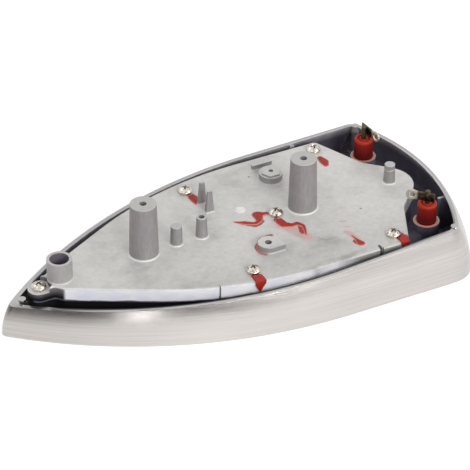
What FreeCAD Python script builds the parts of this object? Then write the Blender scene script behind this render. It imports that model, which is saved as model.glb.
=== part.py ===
import FreeCAD, Part
import Sketcher
import math
import os
from FreeCAD import Placement, Rotation, Vector

# Steam iron soleplate: a cast skirt with the heater in it, closed by a screwed-on chamber cover.
# Nose towards -X, heel towards +X, sole on Z = 0, origin under the middle of the sole. Millimetres.

SIZES = [
    # cast shell
    ("base_length", 230, "sole, nose to heel"),
    ("base_width", 116, "sole, side to side"),
    ("shoulder_x", 34, "where the flanks turn straight"),
    ("nose_radius", 2.5, "nose, in plan"),
    ("corner_radius", 14, "heel corners, in plan"),
    ("rear_radius", 110, "bow of the heel"),
    ("lean_radius", 46, "skirt, in section"),
    ("rim_nose", 15.7, "rim height at the nose"),
    ("rim_rear", 25.6, "rim height at the heel"),
    ("rim_trim", 3, "stock cut off above the rim"),
    ("edge_break", 0.6, "edge of the sole"),
    ("skirt_wall", 2.2, "wall of the skirt"),
    ("inner_nose", 4, "nose of the cavity"),
    ("sole_floor", 5, "thickness of the sole"),
    # pegs and ribs of the skirt
    ("peg_radius", 1.8, "rim pegs"),
    ("peg_stand", 1.4, "nose peg above the rim"),
    ("nose_peg_setback", 10.4, "nose peg behind the nose"),
    ("heel_peg_stand", 0.4, "heel pegs above the rim"),
    ("heel_peg_setback", 21, "heel pegs ahead of the heel"),
    ("heel_peg_inset", 10.4, "heel pegs inside the sole's flank"),
    ("wall_rib_x", 58.5, "ribs of the inner wall"),
    ("wall_rib_width", 2, "ribs of the inner wall"),
    ("wall_rib_depth", 1.2, "ribs of the inner wall"),
    ("wall_rib_drop", 0.8, "rib tops below the rim"),
    # joint between casting and cover
    ("joint_height", 16, "machined joint"),
    ("seal_thickness", 0.3, "sealant bed"),
    ("cover_thickness", 7, "cover plate"),
    ("cover_overhang", 0.6, "cover beyond the chamber wall"),
    ("chamber_wall", 4, "wall of the steam chamber"),
    ("cover_recess", 3.2, "hollow under the cover"),
    ("chamber_nose_back", 6, "chamber behind the nose screw"),
    ("chamber_nose_radius", 1.5, "blunt end of the chamber"),
    # outline of the cover
    ("cover_side_gap", 11.7, "cover inside the sole's flank"),
    ("cover_bow_x", -16.5, "corner of front edge and flank"),
    ("cover_bow_radius", 170, "bow of the flank"),
    ("ear_setback", 18.9, "nose screw behind the nose"),
    ("ear_radius", 5.2, "ear round the nose screw"),
    ("ear_step", 2.7, "ear below the cover's top"),
    ("ear_face_radius", 6, "spot face round the nose screw"),
    ("neck_length", 5.5, "ear's parallel sides"),
    ("neck_radius", 3, "root of the neck"),
    ("cover_shoulder_back", 8.5, "shoulder behind the nose screw"),
    ("cover_shoulder_half", 8.6, "shoulder from the middle"),
    ("cover_shoulder_radius", 1.5, "rounding of the shoulder"),
    ("cover_corner_ahead", 18.5, "rear corner ahead of the terminal"),
    ("cover_corner_radius", 2.5, "rear corner"),
    ("scallop_ahead", 6.5, "root of the scallop ahead of the terminal"),
    ("scallop_inside", 10, "root of the scallop inside the terminal"),
    ("scallop_radius", 6, "root of the scallop"),
    ("lobe_ahead", 5, "centre of the rear lobe ahead of the terminals"),
    ("lobe_radius", 13.6, "rear lobe"),
    ("cover_round", 0.8, "top edge of the cover"),
    # steam inlet and posts
    ("inlet_back", 10.5, "steam inlet behind the nose screw"),
    ("inlet_radius", 5.9, "steam inlet, outside"),
    ("inlet_bore", 4.5, "steam inlet, inside"),
    ("inlet_height", 10.4, "steam inlet above the cover"),
    ("front_post_x", -43.5, "front post"),
    ("rear_post_x", 39, "rear post"),
    ("post_foot", 6.9, "posts, radius at the foot"),
    ("post_head", 6.2, "posts, radius at the head"),
    ("post_height", 27.6, "posts above the cover"),
    ("post_tap", 1.65, "tapped holes in the posts"),
    ("post_tap_depth", 14, "tapped holes in the posts"),
    ("head_round", 0.4, "heads of posts, pegs and inlet"),
    ("root_fillet", 0.8, "foot of posts and pegs"),
    # small pegs, sockets and ribs of the cover
    ("stud_x", -27, "plain peg"),
    ("stud_foot", 2.95, "plain peg"),
    ("stud_head", 2.6, "plain peg"),
    ("stud_height", 10, "plain peg"),
    ("socket_x", -14, "hollow peg"),
    ("socket_foot", 2.9, "hollow peg"),
    ("socket_head", 2.4, "hollow peg"),
    ("socket_height", 11, "hollow peg"),
    ("socket_bore", 1.4, "hollow peg"),
    ("rear_peg_ahead", 3, "rear peg ahead of the terminals"),
    ("rear_peg_foot", 2.9, "rear peg"),
    ("rear_peg_head", 2.5, "rear peg"),
    ("rear_peg_height", 10.2, "rear peg"),
    ("rear_peg_groove", 0.4, "groove under the rear peg's head"),
    ("blade_x", -2, "pair of blades"),
    ("blade_y", 16, "front blade"),
    ("blade_pitch", 8, "pair of blades"),
    ("blade_foot", 4.2, "blades, width at the foot"),
    ("blade_head", 2.2, "blades, width at the top"),
    ("blade_thickness", 2.2, "blades, at the foot"),
    ("blade_height", 11.7, "blades"),
    ("mark_x", 12.2, "ejector mark"),
    ("mark_y", 11.8, "ejector mark"),
    ("mark_radius", 2.2, "ejector mark"),
    ("mark_height", 0.4, "ejector mark"),
    ("stat_x", 36.4, "thermostat seat"),
    ("stat_y", 27.4, "thermostat seat"),
    ("stat_radius", 5.7, "thermostat seat"),
    ("stat_height", 4.6, "thermostat seat"),
    ("stat_foot", 3.8, "round foot of the thermostat seat"),
    ("stat_hexagon", 5, "six-sided top of the thermostat seat"),
    ("stat_dimple", 1.1, "dimple of the thermostat seat"),
    ("fence_x", 31.5, "fence behind the thermostat seat"),
    ("fence_y", 37, "fence behind the thermostat seat"),
    ("fence_length", 10.4, "fence behind the thermostat seat"),
    ("fence_thickness", 1.6, "fence behind the thermostat seat"),
    ("fence_height", 2.8, "fence behind the thermostat seat"),
    ("pad_x", 9.4, "bracket pad"),
    ("pad_y", -22, "bracket pad"),
    ("pad_round", 5.2, "bracket pad"),
    ("pad_reach", 6.4, "bracket pad"),
    ("pad_height", 3.2, "bracket pad"),
    ("pad_bore", 1.65, "bracket pad"),
    ("pad_bore_depth", 5.5, "bracket pad"),
    ("notch_front_x", -24.3, "slit in the cover's flank"),
    ("notch_rear_x", 55.6, "slot in the cover's flank"),
    ("notch_front_width", 0.9, "slit in the cover's flank"),
    ("notch_rear_width", 1.5, "slot in the cover's flank"),
    ("notch_depth", 1.2, "slits in the cover's flank"),
    # screws
    ("front_screw_x", -5.2, "front pair of screws"),
    ("front_screw_edge", 10.9, "front pair inside the cover's flank"),
    ("rear_screw_ahead", 23, "rear pair ahead of the terminals"),
    ("rear_screw_edge", 7.2, "rear pair inside the cover's flank"),
    ("centre_screw_x", 24.9, "middle screw"),
    ("screw_radius", 2, "screw shank"),
    ("screw_length", 14, "screw under its head"),
    ("screw_head_radius", 3.4, "screw head"),
    ("screw_head_height", 3.2, "screw head"),
    ("screw_edge_height", 1.4, "screw head at its edge"),
    ("screw_recess", 1.9, "cross recess, half span"),
    ("screw_recess_width", 0.9, "cross recess, width"),
    ("screw_recess_depth", 1.7, "cross recess, depth"),
    ("screw_play", 0.25, "screw in the cover"),
    ("screw_tip_room", 0.7, "hole below the screw's tip"),
    ("screw_boss", 4.4, "screw bosses"),
    # heater and steam vents
    ("terminal_setback", 26, "terminals ahead of the heel"),
    ("terminal_edge", 15.8, "terminals inside the cover's flank"),
    ("terminal_boss", 6.2, "bosses round the heater's ends"),
    ("terminal_height", 19.1, "bosses round the heater's ends"),
    ("heater_radius", 3.5, "heater sheath"),
    ("heater_height", 7.5, "middle of the heater above the sole"),
    ("heater_cover", 2, "metal cast round the heater"),
    ("heater_rise", 10, "bend up to the terminals"),
    ("heater_knee_x", 0, "where the legs turn inwards"),
    ("heater_knee_radius", 50, "where the legs turn inwards"),
    ("heater_apex_setback", 35, "corner of the legs behind the nose"),
    ("heater_nose_radius", 9, "bend at the nose"),
    ("heater_stub", 2.5, "heater above its boss"),
    ("vent_radius", 1.6, "steam vents"),
    ("vent_first_back", 44.6, "first pair of vents behind the nose screw"),
    ("vent_last_ahead", 36.5, "last pair of vents ahead of the terminals"),
    ("vent_pairs", 9, "pairs of vents"),
    ("vent_wall_gap", 2.7, "vents inside the chamber wall"),
    ("nose_vent_back", 20, "nose vent behind the nose screw"),
    # terminals
    ("bead_height", 2.4, "ceramic bead on the heater's end"),
    ("bead_room", 0.2, "bead in the cap"),
    ("pin_radius", 1.2, "terminal pin"),
    ("pin_stand", 6.3, "terminal pin above the cap"),
    ("cap_radius", 4.8, "silicone cap"),
    ("cap_height", 10.4, "silicone cap"),
    ("cap_round", 1.1, "top edge of the cap"),
    ("cap_groove_radius", 2.6, "groove in the cap's top"),
    ("cap_groove_width", 0.8, "groove in the cap's top"),
    ("cap_groove_depth", 1, "groove in the cap's top"),
    ("tab_length", 7.4, "terminal tab, pin to ring"),
    ("tab_tail", 6.8, "terminal tab beyond the pin"),
    ("tab_width", 4.4, "terminal tab"),
    ("tab_thickness", 0.8, "terminal tab"),
    ("tab_ring", 2.8, "ring of the tab"),
    ("tab_hole", 1.5, "hole of the tab"),
    ("tab_lift", 1.8, "terminal tab above the cap"),
    ("tab_seat", 0.35, "flat of the pin under the tab"),
    ("tab_left_turn", -81, "far tab, turn about its pin"),
    ("tab_right_turn", 138, "near tab, turn about its pin"),
    # sealant
    ("smear_height", 0.5, "sealant on the cover"),
    ("drip_height", 0.8, "sealant over the cover's edge"),
    ("film_height", 0.25, "sealant round the caps"),
    ("smear_gap", 0.15, "sealant round screws and posts"),
]

doc = FreeCAD.newDocument("iron_soleplate")
sheet = doc.addObject("Spreadsheet::Sheet", "Sizes")
for row, (alias, value, note) in enumerate(SIZES, 1):
    sheet.set("A%d" % row, note)
    sheet.set("B%d" % row, str(value))
    sheet.setAlias("B%d" % row, alias)
doc.recompute()


def size(alias):
    return float(sheet.get(alias))


def cell(text):
    """Expression in which every word of the sheet is written out as a reference to its cell."""
    words = []
    for word in text.split():
        words.append("Sizes." + word if word[0].isalpha() else word)
    return " ".join(words)


def bind(item, **sizes):
    for name, text in sizes.items():
        item.setExpression(name, cell(text))
    return item


def put(item, x="0", y="0", z="0"):
    """Binds an item's place to the sheet."""
    for axis, text in zip("xyz", (x, y, z)):
        item.setExpression("Placement.Base." + axis, cell(text))
    return item


# Places that several pieces share, as expressions and as numbers
NOSE = "( 0 - base_length / 2 )"
HEEL = "( base_length / 2 )"
COVER_FOOT = "( joint_height + seal_thickness )"
COVER_TOP = "( joint_height + seal_thickness + cover_thickness )"
EAR_TOP = "( joint_height + seal_thickness + cover_thickness - ear_step )"
COVER_HALF = "( base_width / 2 - cover_side_gap )"
EAR_X = "( 0 - base_length / 2 + ear_setback )"
TERMINAL_X = "( base_length / 2 - terminal_setback )"
TERMINAL_Y = "( base_width / 2 - cover_side_gap - terminal_edge )"

nose_x = -size("base_length") / 2
heel_x = size("base_length") / 2
half_base = size("base_width") / 2
cover_half = half_base - size("cover_side_gap")
cover_foot = size("joint_height") + size("seal_thickness")
cover_top = cover_foot + size("cover_thickness")
ear_top = cover_top - size("ear_step")
ear_x = nose_x + size("ear_setback")
terminal_x = heel_x - size("terminal_setback")
terminal_y = cover_half - size("terminal_edge")
rear_screw_x = terminal_x - size("rear_screw_ahead")


# Plan outlines

def mirrored(point):
    return Vector(point.x, -point.y, point.z)


def arc_between(start, centre, radius, end):
    middle = (start - centre) + (end - centre)
    return Part.Arc(start, centre + middle.normalize() * radius, end)


def skirt_inset(level):
    """How far the skirt leans in at a height above the sole."""
    radius = size("lean_radius")
    return radius - math.sqrt(radius ** 2 - level ** 2)


def skirt_outline(inset, nose_radius):
    """Boat shape: nose arc, bowed sides, straight flanks, rounded corners and a bowed heel."""
    shoulder = size("shoulder_x")
    tip = size("nose_radius")
    run = shoulder - nose_x - tip
    side = (run ** 2 + half_base ** 2 - tip ** 2) / (2 * (half_base - tip))
    side_centre = Vector(shoulder, half_base - side, 0)
    side_radius = side - inset
    half = half_base - inset
    reach = math.sqrt((side_radius - nose_radius) ** 2 - side_centre.y ** 2)
    nose_centre = Vector(shoulder - reach, 0, 0)
    nose_end = side_centre + (nose_centre - side_centre).normalize() * side_radius
    rear = size("rear_radius") - inset
    corner = size("corner_radius") - inset
    rear_centre = Vector(heel_x - size("rear_radius"), 0, 0)
    corner_y = half - corner
    corner_x = rear_centre.x + math.sqrt((rear - corner) ** 2 - corner_y ** 2)
    corner_centre = Vector(corner_x, corner_y, 0)
    heel_end = rear_centre + (corner_centre - rear_centre).normalize() * rear
    flank_start = Vector(shoulder, half, 0)
    flank_end = Vector(corner_x, half, 0)
    tip_point = nose_centre - Vector(nose_radius, 0, 0)
    heel_point = rear_centre + Vector(rear, 0, 0)
    far = [
        arc_between(nose_end, side_centre, side_radius, flank_start),
        Part.LineSegment(flank_start, flank_end),
        arc_between(flank_end, corner_centre, corner, heel_end),
    ]
    near = [
        arc_between(mirrored(heel_end), mirrored(corner_centre), corner, mirrored(flank_end)),
        Part.LineSegment(mirrored(flank_end), mirrored(flank_start)),
        arc_between(mirrored(flank_start), mirrored(side_centre), side_radius, mirrored(nose_end)),
    ]
    nose = Part.Arc(mirrored(nose_end), tip_point, nose_end)
    heel = Part.Arc(heel_end, heel_point, mirrored(heel_end))
    return [nose] + far + [heel] + near


def cover_corners():
    """Corners of the cover's plan on the far side, nose to heel, each with its rounding."""
    ear = size("ear_radius")
    shoulder = Vector(ear_x + size("cover_shoulder_back"), size("cover_shoulder_half"), 0)
    scallop = Vector(terminal_x - size("scallop_ahead"), terminal_y - size("scallop_inside"), 0)
    lobe_x = terminal_x - size("lobe_ahead")
    lobe = size("lobe_radius")
    away = scallop - Vector(lobe_x, 0, 0)
    turn = math.atan2(away.y, away.x) - math.acos(lobe / away.Length)
    return [
        (Vector(ear_x - ear, ear, 0), ear),
        (Vector(ear_x + size("neck_length"), ear, 0), size("neck_radius")),
        (shoulder, size("cover_shoulder_radius")),
        (Vector(size("cover_bow_x"), cover_half, 0), size("cover_bow_radius")),
        (Vector(terminal_x - size("cover_corner_ahead"), cover_half, 0), size("cover_corner_radius")),
        (scallop, size("scallop_radius")),
        (Vector(lobe_x + lobe / math.cos(turn), 0, 0), lobe),
    ]


def closed_plan(corners):
    """Adds the near half to the corners of the far half."""
    near = [(mirrored(point), radius) for point, radius in corners[:-1]]
    return corners + near[::-1]


def inset_plan(corners, inset):
    """Moves every side of a closed plan inwards and keeps its roundings concentric."""
    count = len(corners)
    moved = []
    for index in range(count):
        before = corners[index - 1][0]
        here, radius = corners[index]
        after = corners[(index + 1) % count][0]
        first = (here - before).normalize()
        second = (after - here).normalize()
        first_in = Vector(first.y, -first.x, 0)
        second_in = Vector(second.y, -second.x, 0)
        bisector = first_in + second_in
        shift = bisector * (2 * inset / bisector.dot(bisector))
        convex = first.cross(second).z < 0
        rounding = radius - inset if convex else radius + inset
        moved.append((here + shift, max(rounding, size("edge_break"))))
    return moved


def rounded(corners, closed=True):
    """Lines and arcs of a plan whose corners are rounded."""
    count = len(corners)
    pieces = []
    start = None
    first_start = None
    for index in range(count):
        here, radius = corners[index]
        if not closed and index in (0, count - 1):
            entry = leave = here
            bend = None
        else:
            back = (corners[index - 1][0] - here).normalize()
            ahead = (corners[(index + 1) % count][0] - here).normalize()
            half = math.acos(max(-1, min(1, back.dot(ahead)))) / 2
            cut = radius / math.tan(half)
            entry = here + back * cut
            leave = here + ahead * cut
            axis = (back + ahead).normalize()
            bend = Part.Arc(entry, here + axis * (radius / math.sin(half) - radius), leave)
        if start is None:
            first_start = entry
        elif (entry - start).Length > 1e-6:
            pieces.append(Part.LineSegment(start, entry))
        if bend:
            pieces.append(bend)
        start = leave
    if closed and (first_start - start).Length > 1e-6:
        pieces.append(Part.LineSegment(start, first_start))
    return pieces


# Sketches

def plane(body, role):
    return next(item for item in body.Origin.OriginFeatures if item.Role == role)


def sketch(body, name, role="XY_Plane", level=None):
    item = body.newObject("Sketcher::SketchObject", name)
    item.AttachmentSupport = [(plane(body, role), "")]
    item.MapMode = "FlatFace"
    if level:
        item.setExpression("AttachmentOffset.Base.z", cell(level))
    return item


def draw(item, pieces, smooth=True):
    """Adds a closed outline whose pieces run into each other, tangent unless told otherwise."""
    first = item.GeometryCount
    item.addGeometry(pieces, False)
    kind = "Tangent" if smooth else "Coincident"
    joints = []
    for index in range(len(pieces)):
        here = first + index
        following = first + (index + 1) % len(pieces)
        gap, end, begin = min(
            ((item.getPoint(here, a) - item.getPoint(following, b)).Length, a, b)
            for a in (1, 2) for b in (1, 2))
        joints.append(Sketcher.Constraint(kind, here, end, following, begin))
    item.addConstraint(joints)
    return item


def drive(item, name, text, *where):
    """Adds a dimension that follows the sheet."""
    kind = where[0]
    index = item.addConstraint(Sketcher.Constraint(kind, *where[1:]))
    item.renameConstraint(index, name)
    item.setExpression("Constraints." + name, cell(text))


def ring(item, name, radius, x, y):
    """Circle bound to the sheet; x and y are expressions."""
    index = item.addGeometry(Part.Circle(Vector(0, 0, 0), Vector(0, 0, 1), 1), False)
    drive(item, name + "_radius", radius, "Radius", index, 1)
    drive(item, name + "_x", x, "DistanceX", -1, 1, index, 3, 1)
    drive(item, name + "_y", y, "DistanceY", -1, 1, index, 3, 1)
    return index


def add(body, kind, name, **sizes):
    """Adds a feature; faces that run on are joined once, by the last feature of the body."""
    item = body.newObject("PartDesign::" + kind, name)
    item.Refine = False
    return bind(item, **sizes)


def edges_where(shape, test):
    return ["Edge%d" % (index + 1) for index, edge in enumerate(shape.Edges) if test(edge)]


def is_ring(edge, x, y, z, radius):
    curve = edge.Curve
    if not isinstance(curve, Part.Circle):
        return False
    return (curve.Center - Vector(x, y, z)).Length < 1e-3 and abs(curve.Radius - radius) < 1e-3


# Skirt and sole: lofted outside, cut along the sloping rim and hollowed by a second loft

shell = doc.addObject("PartDesign::Body", "shell")
LOFT_TOP = "( rim_rear + rim_trim )"
loft_top = size("rim_rear") + size("rim_trim")


def skirt_sections(prefix, wall, lowest, nose_radius, nose_name):
    sections = []
    for index in range(4):
        part_way = index / 3
        level = lowest + (loft_top - lowest) * part_way
        text = "%s + ( %s - %s ) * %d / 3" % (nose_name[1], LOFT_TOP, nose_name[1], index)
        item = sketch(shell, "%s_%d" % (prefix, index), level=text)
        inset = skirt_inset(level) + wall
        draw(item, skirt_outline(inset, nose_radius))
        drive(item, "nose", nose_name[0], "Radius", 0, nose_radius)
        drive(item, "shoulder_far", "shoulder_x", "DistanceX", -1, 1, 2, 1, size("shoulder_x"))
        drive(item, "shoulder_near", "shoulder_x", "DistanceX", -1, 1, 6, 2, size("shoulder_x"))
        item.addConstraint(Sketcher.Constraint("PointOnObject", 0, 3, -1))
        item.addConstraint(Sketcher.Constraint("PointOnObject", 4, 3, -1))
        item.addConstraint(Sketcher.Constraint("Horizontal", 2))
        item.addConstraint(Sketcher.Constraint("Horizontal", 6))
        sections.append(item)
    return sections


outer = skirt_sections("skirt", 0, 0, size("nose_radius"), ("nose_radius", "0"))
skin = add(shell, "AdditiveLoft", "skirt_skin")
skin.Profile = outer[0]
skin.Sections = outer[1:]
doc.recompute()

rim_cut = sketch(shell, "rim_line", "XZ_Plane", "0 - base_width")
reach = size("base_length")
slope = (size("rim_rear") - size("rim_nose")) / size("base_length")
middle = (size("rim_rear") + size("rim_nose")) / 2
low = Vector(-reach, middle - slope * reach, 0)
high = Vector(reach, middle + slope * reach, 0)
sky = 2 * loft_top
corners = [low, high, Vector(reach, sky, 0), Vector(-reach, sky, 0)]
draw(rim_cut, [Part.LineSegment(a, b) for a, b in zip(corners, corners[1:] + corners[:1])], False)
trim = add(shell, "Pocket", "rim_trim_cut", Length="base_width * 2")
trim.Profile = rim_cut
trim.Reversed = False
doc.recompute()
if trim.Shape.Volume > 0.999 * skin.Shape.Volume:
    trim.Reversed = True
    doc.recompute()

inner = skirt_sections("cavity", size("skirt_wall"), size("sole_floor"), size("inner_nose"),
                       ("inner_nose", "sole_floor"))
hollow = add(shell, "SubtractiveLoft", "skirt_hollow")
hollow.Profile = inner[0]
hollow.Sections = inner[1:]
doc.recompute()

# Steam chamber in the casting

plan = closed_plan(cover_corners())
plan_pieces = rounded(plan)


def chamber_corners():
    """Chamber inside the cover's plan, with a blunt end behind the nose screw."""
    inside = inset_plan(plan, size("cover_overhang") + size("chamber_wall"))
    shoulder = inside[2][0]
    bow = inside[3][0]
    blunt_x = ear_x + size("chamber_nose_back")
    part_way = (blunt_x - shoulder.x) / (bow.x - shoulder.x)
    blunt = Vector(blunt_x, shoulder.y + part_way * (bow.y - shoulder.y), 0)
    return [(blunt, size("chamber_nose_radius"))] + inside[3:7]


chamber_pieces = rounded(closed_plan(chamber_corners()))


def edge_y(pieces, x):
    """Far edge of a plan at a place along its length."""
    wire = Part.Wire(Part.__sortEdges__([piece.toShape() for piece in pieces]))
    ray = Part.makeLine(Vector(x, 0, 0), Vector(x, half_base, 0))
    return ray.distToShape(wire)[1][0][0].y


island_plan = sketch(shell, "island_plan", level="sole_floor / 2")
draw(island_plan, rounded(inset_plan(plan, size("cover_overhang"))))
island = add(shell, "Pad", "island", Length="joint_height - sole_floor / 2")
island.Profile = island_plan
doc.recompute()

chamber_plan = sketch(shell, "chamber_plan", level="joint_height")
draw(chamber_plan, chamber_pieces)
chamber = add(shell, "Pocket", "chamber", Length="joint_height - sole_floor")
chamber.Profile = chamber_plan
doc.recompute()

SCREW_PLACES = [
    ("nose_screw", EAR_X, "0"),
    ("front_screw_far", "front_screw_x", COVER_HALF + " - front_screw_edge"),
    ("front_screw_near", "front_screw_x", "front_screw_edge - " + COVER_HALF),
    ("centre_screw", "centre_screw_x", "0"),
    ("rear_screw_far", TERMINAL_X + " - rear_screw_ahead", COVER_HALF + " - rear_screw_edge"),
    ("rear_screw_near", TERMINAL_X + " - rear_screw_ahead", "rear_screw_edge - " + COVER_HALF),
]
front_screw_y = cover_half - size("front_screw_edge")
rear_screw_y = cover_half - size("rear_screw_edge")
SCREW_SPOTS = [
    Vector(ear_x, 0, ear_top),
    Vector(size("front_screw_x"), front_screw_y, cover_top),
    Vector(size("front_screw_x"), -front_screw_y, cover_top),
    Vector(size("centre_screw_x"), 0, cover_top),
    Vector(rear_screw_x, rear_screw_y, cover_top),
    Vector(rear_screw_x, -rear_screw_y, cover_top),
]

for name, x, y in SCREW_PLACES[1:]:
    boss_plan = sketch(shell, name + "_plan", level="sole_floor / 2")
    ring(boss_plan, "boss", "screw_boss", x, y)
    boss = add(shell, "Pad", name + "_boss", Length="joint_height - sole_floor / 2")
    boss.Profile = boss_plan

for name, y in (("left", TERMINAL_Y), ("right", "0 - " + TERMINAL_Y)):
    boss_plan = sketch(shell, "terminal_%s_plan" % name, level="sole_floor / 2")
    ring(boss_plan, "boss", "terminal_boss", TERMINAL_X, y)
    boss = add(shell, "Pad", "terminal_%s_boss" % name, Length="terminal_height - sole_floor / 2")
    boss.Profile = boss_plan

# Pegs standing on the rim and ribs of the inner wall

RIM_SLOPE = "( rim_rear - rim_nose ) / base_length"
PEGS = [
    ("nose_peg", NOSE + " + nose_peg_setback", "0",
     "peg_stand + rim_nose + nose_peg_setback * " + RIM_SLOPE),
    ("heel_peg_far", HEEL + " - heel_peg_setback", "base_width / 2 - heel_peg_inset",
     "heel_peg_stand + rim_rear - heel_peg_setback * " + RIM_SLOPE),
    ("heel_peg_near", HEEL + " - heel_peg_setback", "heel_peg_inset - base_width / 2",
     "heel_peg_stand + rim_rear - heel_peg_setback * " + RIM_SLOPE),
]
for name, x, y, top in PEGS:
    peg_plan = sketch(shell, name + "_plan", level="sole_floor / 2")
    ring(peg_plan, "peg", "peg_radius", x, y)
    peg = add(shell, "Pad", name, Length=top + " - sole_floor / 2")
    peg.Profile = peg_plan
doc.recompute()

rib_level = middle + slope * size("wall_rib_x") - size("wall_rib_drop")
rib_y = half_base - skirt_inset(rib_level) - size("skirt_wall") - size("wall_rib_depth")
for name, y in (("far", rib_y), ("near", -rib_y - size("wall_rib_depth") - size("skirt_wall") / 2)):
    rib = add(shell, "AdditiveBox", "wall_rib_" + name, Length="wall_rib_width",
              Width="wall_rib_depth + skirt_wall / 2")
    rib.Height = rib_level - size("sole_floor") / 2
    rib.Placement = Placement(Vector(size("wall_rib_x"), y, size("sole_floor") / 2), Rotation())
doc.recompute()

block = shell.Tip
bottom = edges_where(block.Shape, lambda edge: edge.BoundBox.ZMax < 1e-4)
broken = add(shell, "Chamfer", "sole_edge", Size="edge_break")
broken.Base = (block, bottom)
doc.recompute()

# Heater: a sheathed tube bent into a U, cast into a rounded ridge of the chamber's floor

knee = Vector(size("heater_knee_x"), terminal_y, size("heater_height"))
apex = Vector(nose_x + size("heater_apex_setback"), 0, size("heater_height"))
rise = size("heater_rise")
leg_end = Vector(terminal_x - rise, terminal_y, size("heater_height"))
level_run = rounded([
    (leg_end, 0),
    (knee, size("heater_knee_radius")),
    (apex, size("heater_nose_radius")),
    (mirrored(knee), size("heater_knee_radius")),
    (mirrored(leg_end), 0),
], closed=False)


def riser(y):
    """Bend from the level run up to a terminal."""
    low_end = Vector(terminal_x - rise, y, size("heater_height"))
    centre = low_end + Vector(0, 0, rise)
    return arc_between(low_end, centre, rise, centre + Vector(rise, 0, 0))


def stub(y):
    foot = Vector(terminal_x, y, size("heater_height") + rise)
    return Part.LineSegment(foot, Vector(terminal_x, y, size("terminal_height") + size("heater_stub")))


bent = [riser(terminal_y)] + level_run + [riser(-terminal_y)]
bent_shapes = [piece.toShape() for piece in bent]
full_shapes = [stub(terminal_y).toShape()] + bent_shapes + [stub(-terminal_y).toShape()]

ridge_path = doc.addObject("Part::Feature", "ridge_path")
ridge_path.Shape = Part.Wire(Part.__sortEdges__(bent_shapes))
heater_path = doc.addObject("Part::Feature", "heater_path")
heater_path.Shape = Part.Wire(Part.__sortEdges__(full_shapes))


def tube(name, path, radius):
    """Round bar along a path."""
    start = path.Shape.OrderedVertexes[0].Point
    edge = path.Shape.OrderedEdges[0]
    begin = edge.ParameterRange[0]
    if (edge.valueAt(begin) - start).Length > 1e-4:
        begin = edge.ParameterRange[1]
    profile = bind(doc.addObject("Part::Circle", name + "_profile"), Radius=radius)
    profile.Placement = Placement(start, Rotation(Vector(0, 0, 1), edge.tangentAt(begin)))
    bar = doc.addObject("Part::Sweep", name)
    bar.Sections = [profile]
    bar.Spine = (path, ["Edge%d" % (index + 1) for index in range(len(path.Shape.Edges))])
    bar.Solid = True
    bar.Frenet = False
    return bar


ridge = tube("heater_ridge", ridge_path, "heater_radius + heater_cover")
heater = tube("heating_element", heater_path, "heater_radius")
doc.recompute()

# Holes of the casting: screws, and vents along the chamber wall

holes = []
for (name, x, y), spot in zip(SCREW_PLACES, SCREW_SPOTS):
    seat = EAR_TOP if name == "nose_screw" else COVER_TOP
    hole = bind(doc.addObject("Part::Cylinder", name + "_hole"), Radius="screw_radius",
                Height="screw_length + screw_tip_room")
    put(hole, x, y, seat + " - screw_length - screw_tip_room")
    holes.append(hole)

vent_shapes = []
pairs = int(size("vent_pairs"))
first_vent = ear_x + size("vent_first_back")
last_vent = terminal_x - size("vent_last_ahead")
for index in range(pairs):
    vent_x = first_vent + (last_vent - first_vent) * index / (pairs - 1)
    vent_y = edge_y(chamber_pieces, vent_x) - size("vent_wall_gap")
    for y in (vent_y, -vent_y):
        foot = Vector(vent_x, y, -size("sole_floor"))
        vent_shapes.append(Part.makeCylinder(size("vent_radius"), 3 * size("sole_floor"), foot))
nose_vent = Vector(ear_x + size("nose_vent_back"), 0, -size("sole_floor"))
vent_shapes.append(Part.makeCylinder(size("vent_radius"), 3 * size("sole_floor"), nose_vent))
vents = doc.addObject("Part::Feature", "steam_vents")
vents.Shape = Part.makeCompound(vent_shapes)

casting = doc.addObject("Part::Fuse", "casting")
casting.Base = shell
casting.Tool = ridge
casting_tools = doc.addObject("Part::MultiFuse", "casting_tools")
casting_tools.Shapes = [heater, vents] + holes
soleplate = doc.addObject("Part::Cut", "soleplate")
soleplate.Base = casting
soleplate.Tool = casting_tools
doc.recompute()

# Sealant bed between casting and cover

bed = doc.addObject("PartDesign::Body", "gasket_bed")
bed_plan = sketch(bed, "bed_plan", level="joint_height")
draw(bed_plan, rounded(inset_plan(plan, size("cover_overhang") + size("seal_thickness"))))
draw(bed_plan, chamber_pieces)
bed_pad = add(bed, "Pad", "bed", Length="seal_thickness")
bed_pad.Profile = bed_plan
washers = []
for name, x, y in SCREW_PLACES[1:]:
    washer = bind(doc.addObject("Part::Cylinder", name + "_washer"), Radius="screw_boss - seal_thickness",
                  Height="seal_thickness")
    washers.append(put(washer, x, y, "joint_height"))
gasket_stock = doc.addObject("Part::MultiFuse", "gasket_stock")
gasket_stock.Shapes = [bed] + washers
gasket_holes = []
for name, x, y in SCREW_PLACES:
    hole = bind(doc.addObject("Part::Cylinder", name + "_gasket_hole"), Radius="screw_radius + screw_play",
                Height="seal_thickness * 3")
    gasket_holes.append(put(hole, x, y, "joint_height - seal_thickness"))
gasket_tools = doc.addObject("Part::MultiFuse", "gasket_tools")
gasket_tools.Shapes = gasket_holes
gasket = doc.addObject("Part::Cut", "chamber_gasket")
gasket.Base = gasket_stock
gasket.Tool = gasket_tools
doc.recompute()

# Chamber cover: a die casting with its posts, inlet, pegs and seats in one

cover = doc.addObject("PartDesign::Body", "chamber_cover")
cover_plan = sketch(cover, "cover_plan", level=COVER_FOOT)
draw(cover_plan, plan_pieces)
plate = add(cover, "Pad", "plate", Length="cover_thickness")
plate.Profile = cover_plan
doc.recompute()
top_edges = edges_where(plate.Shape, lambda edge: edge.BoundBox.ZMin > cover_top - 1e-4)
softened = add(cover, "Fillet", "plate_round", Radius="cover_round")
softened.Base = (plate, top_edges)
doc.recompute()

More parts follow.
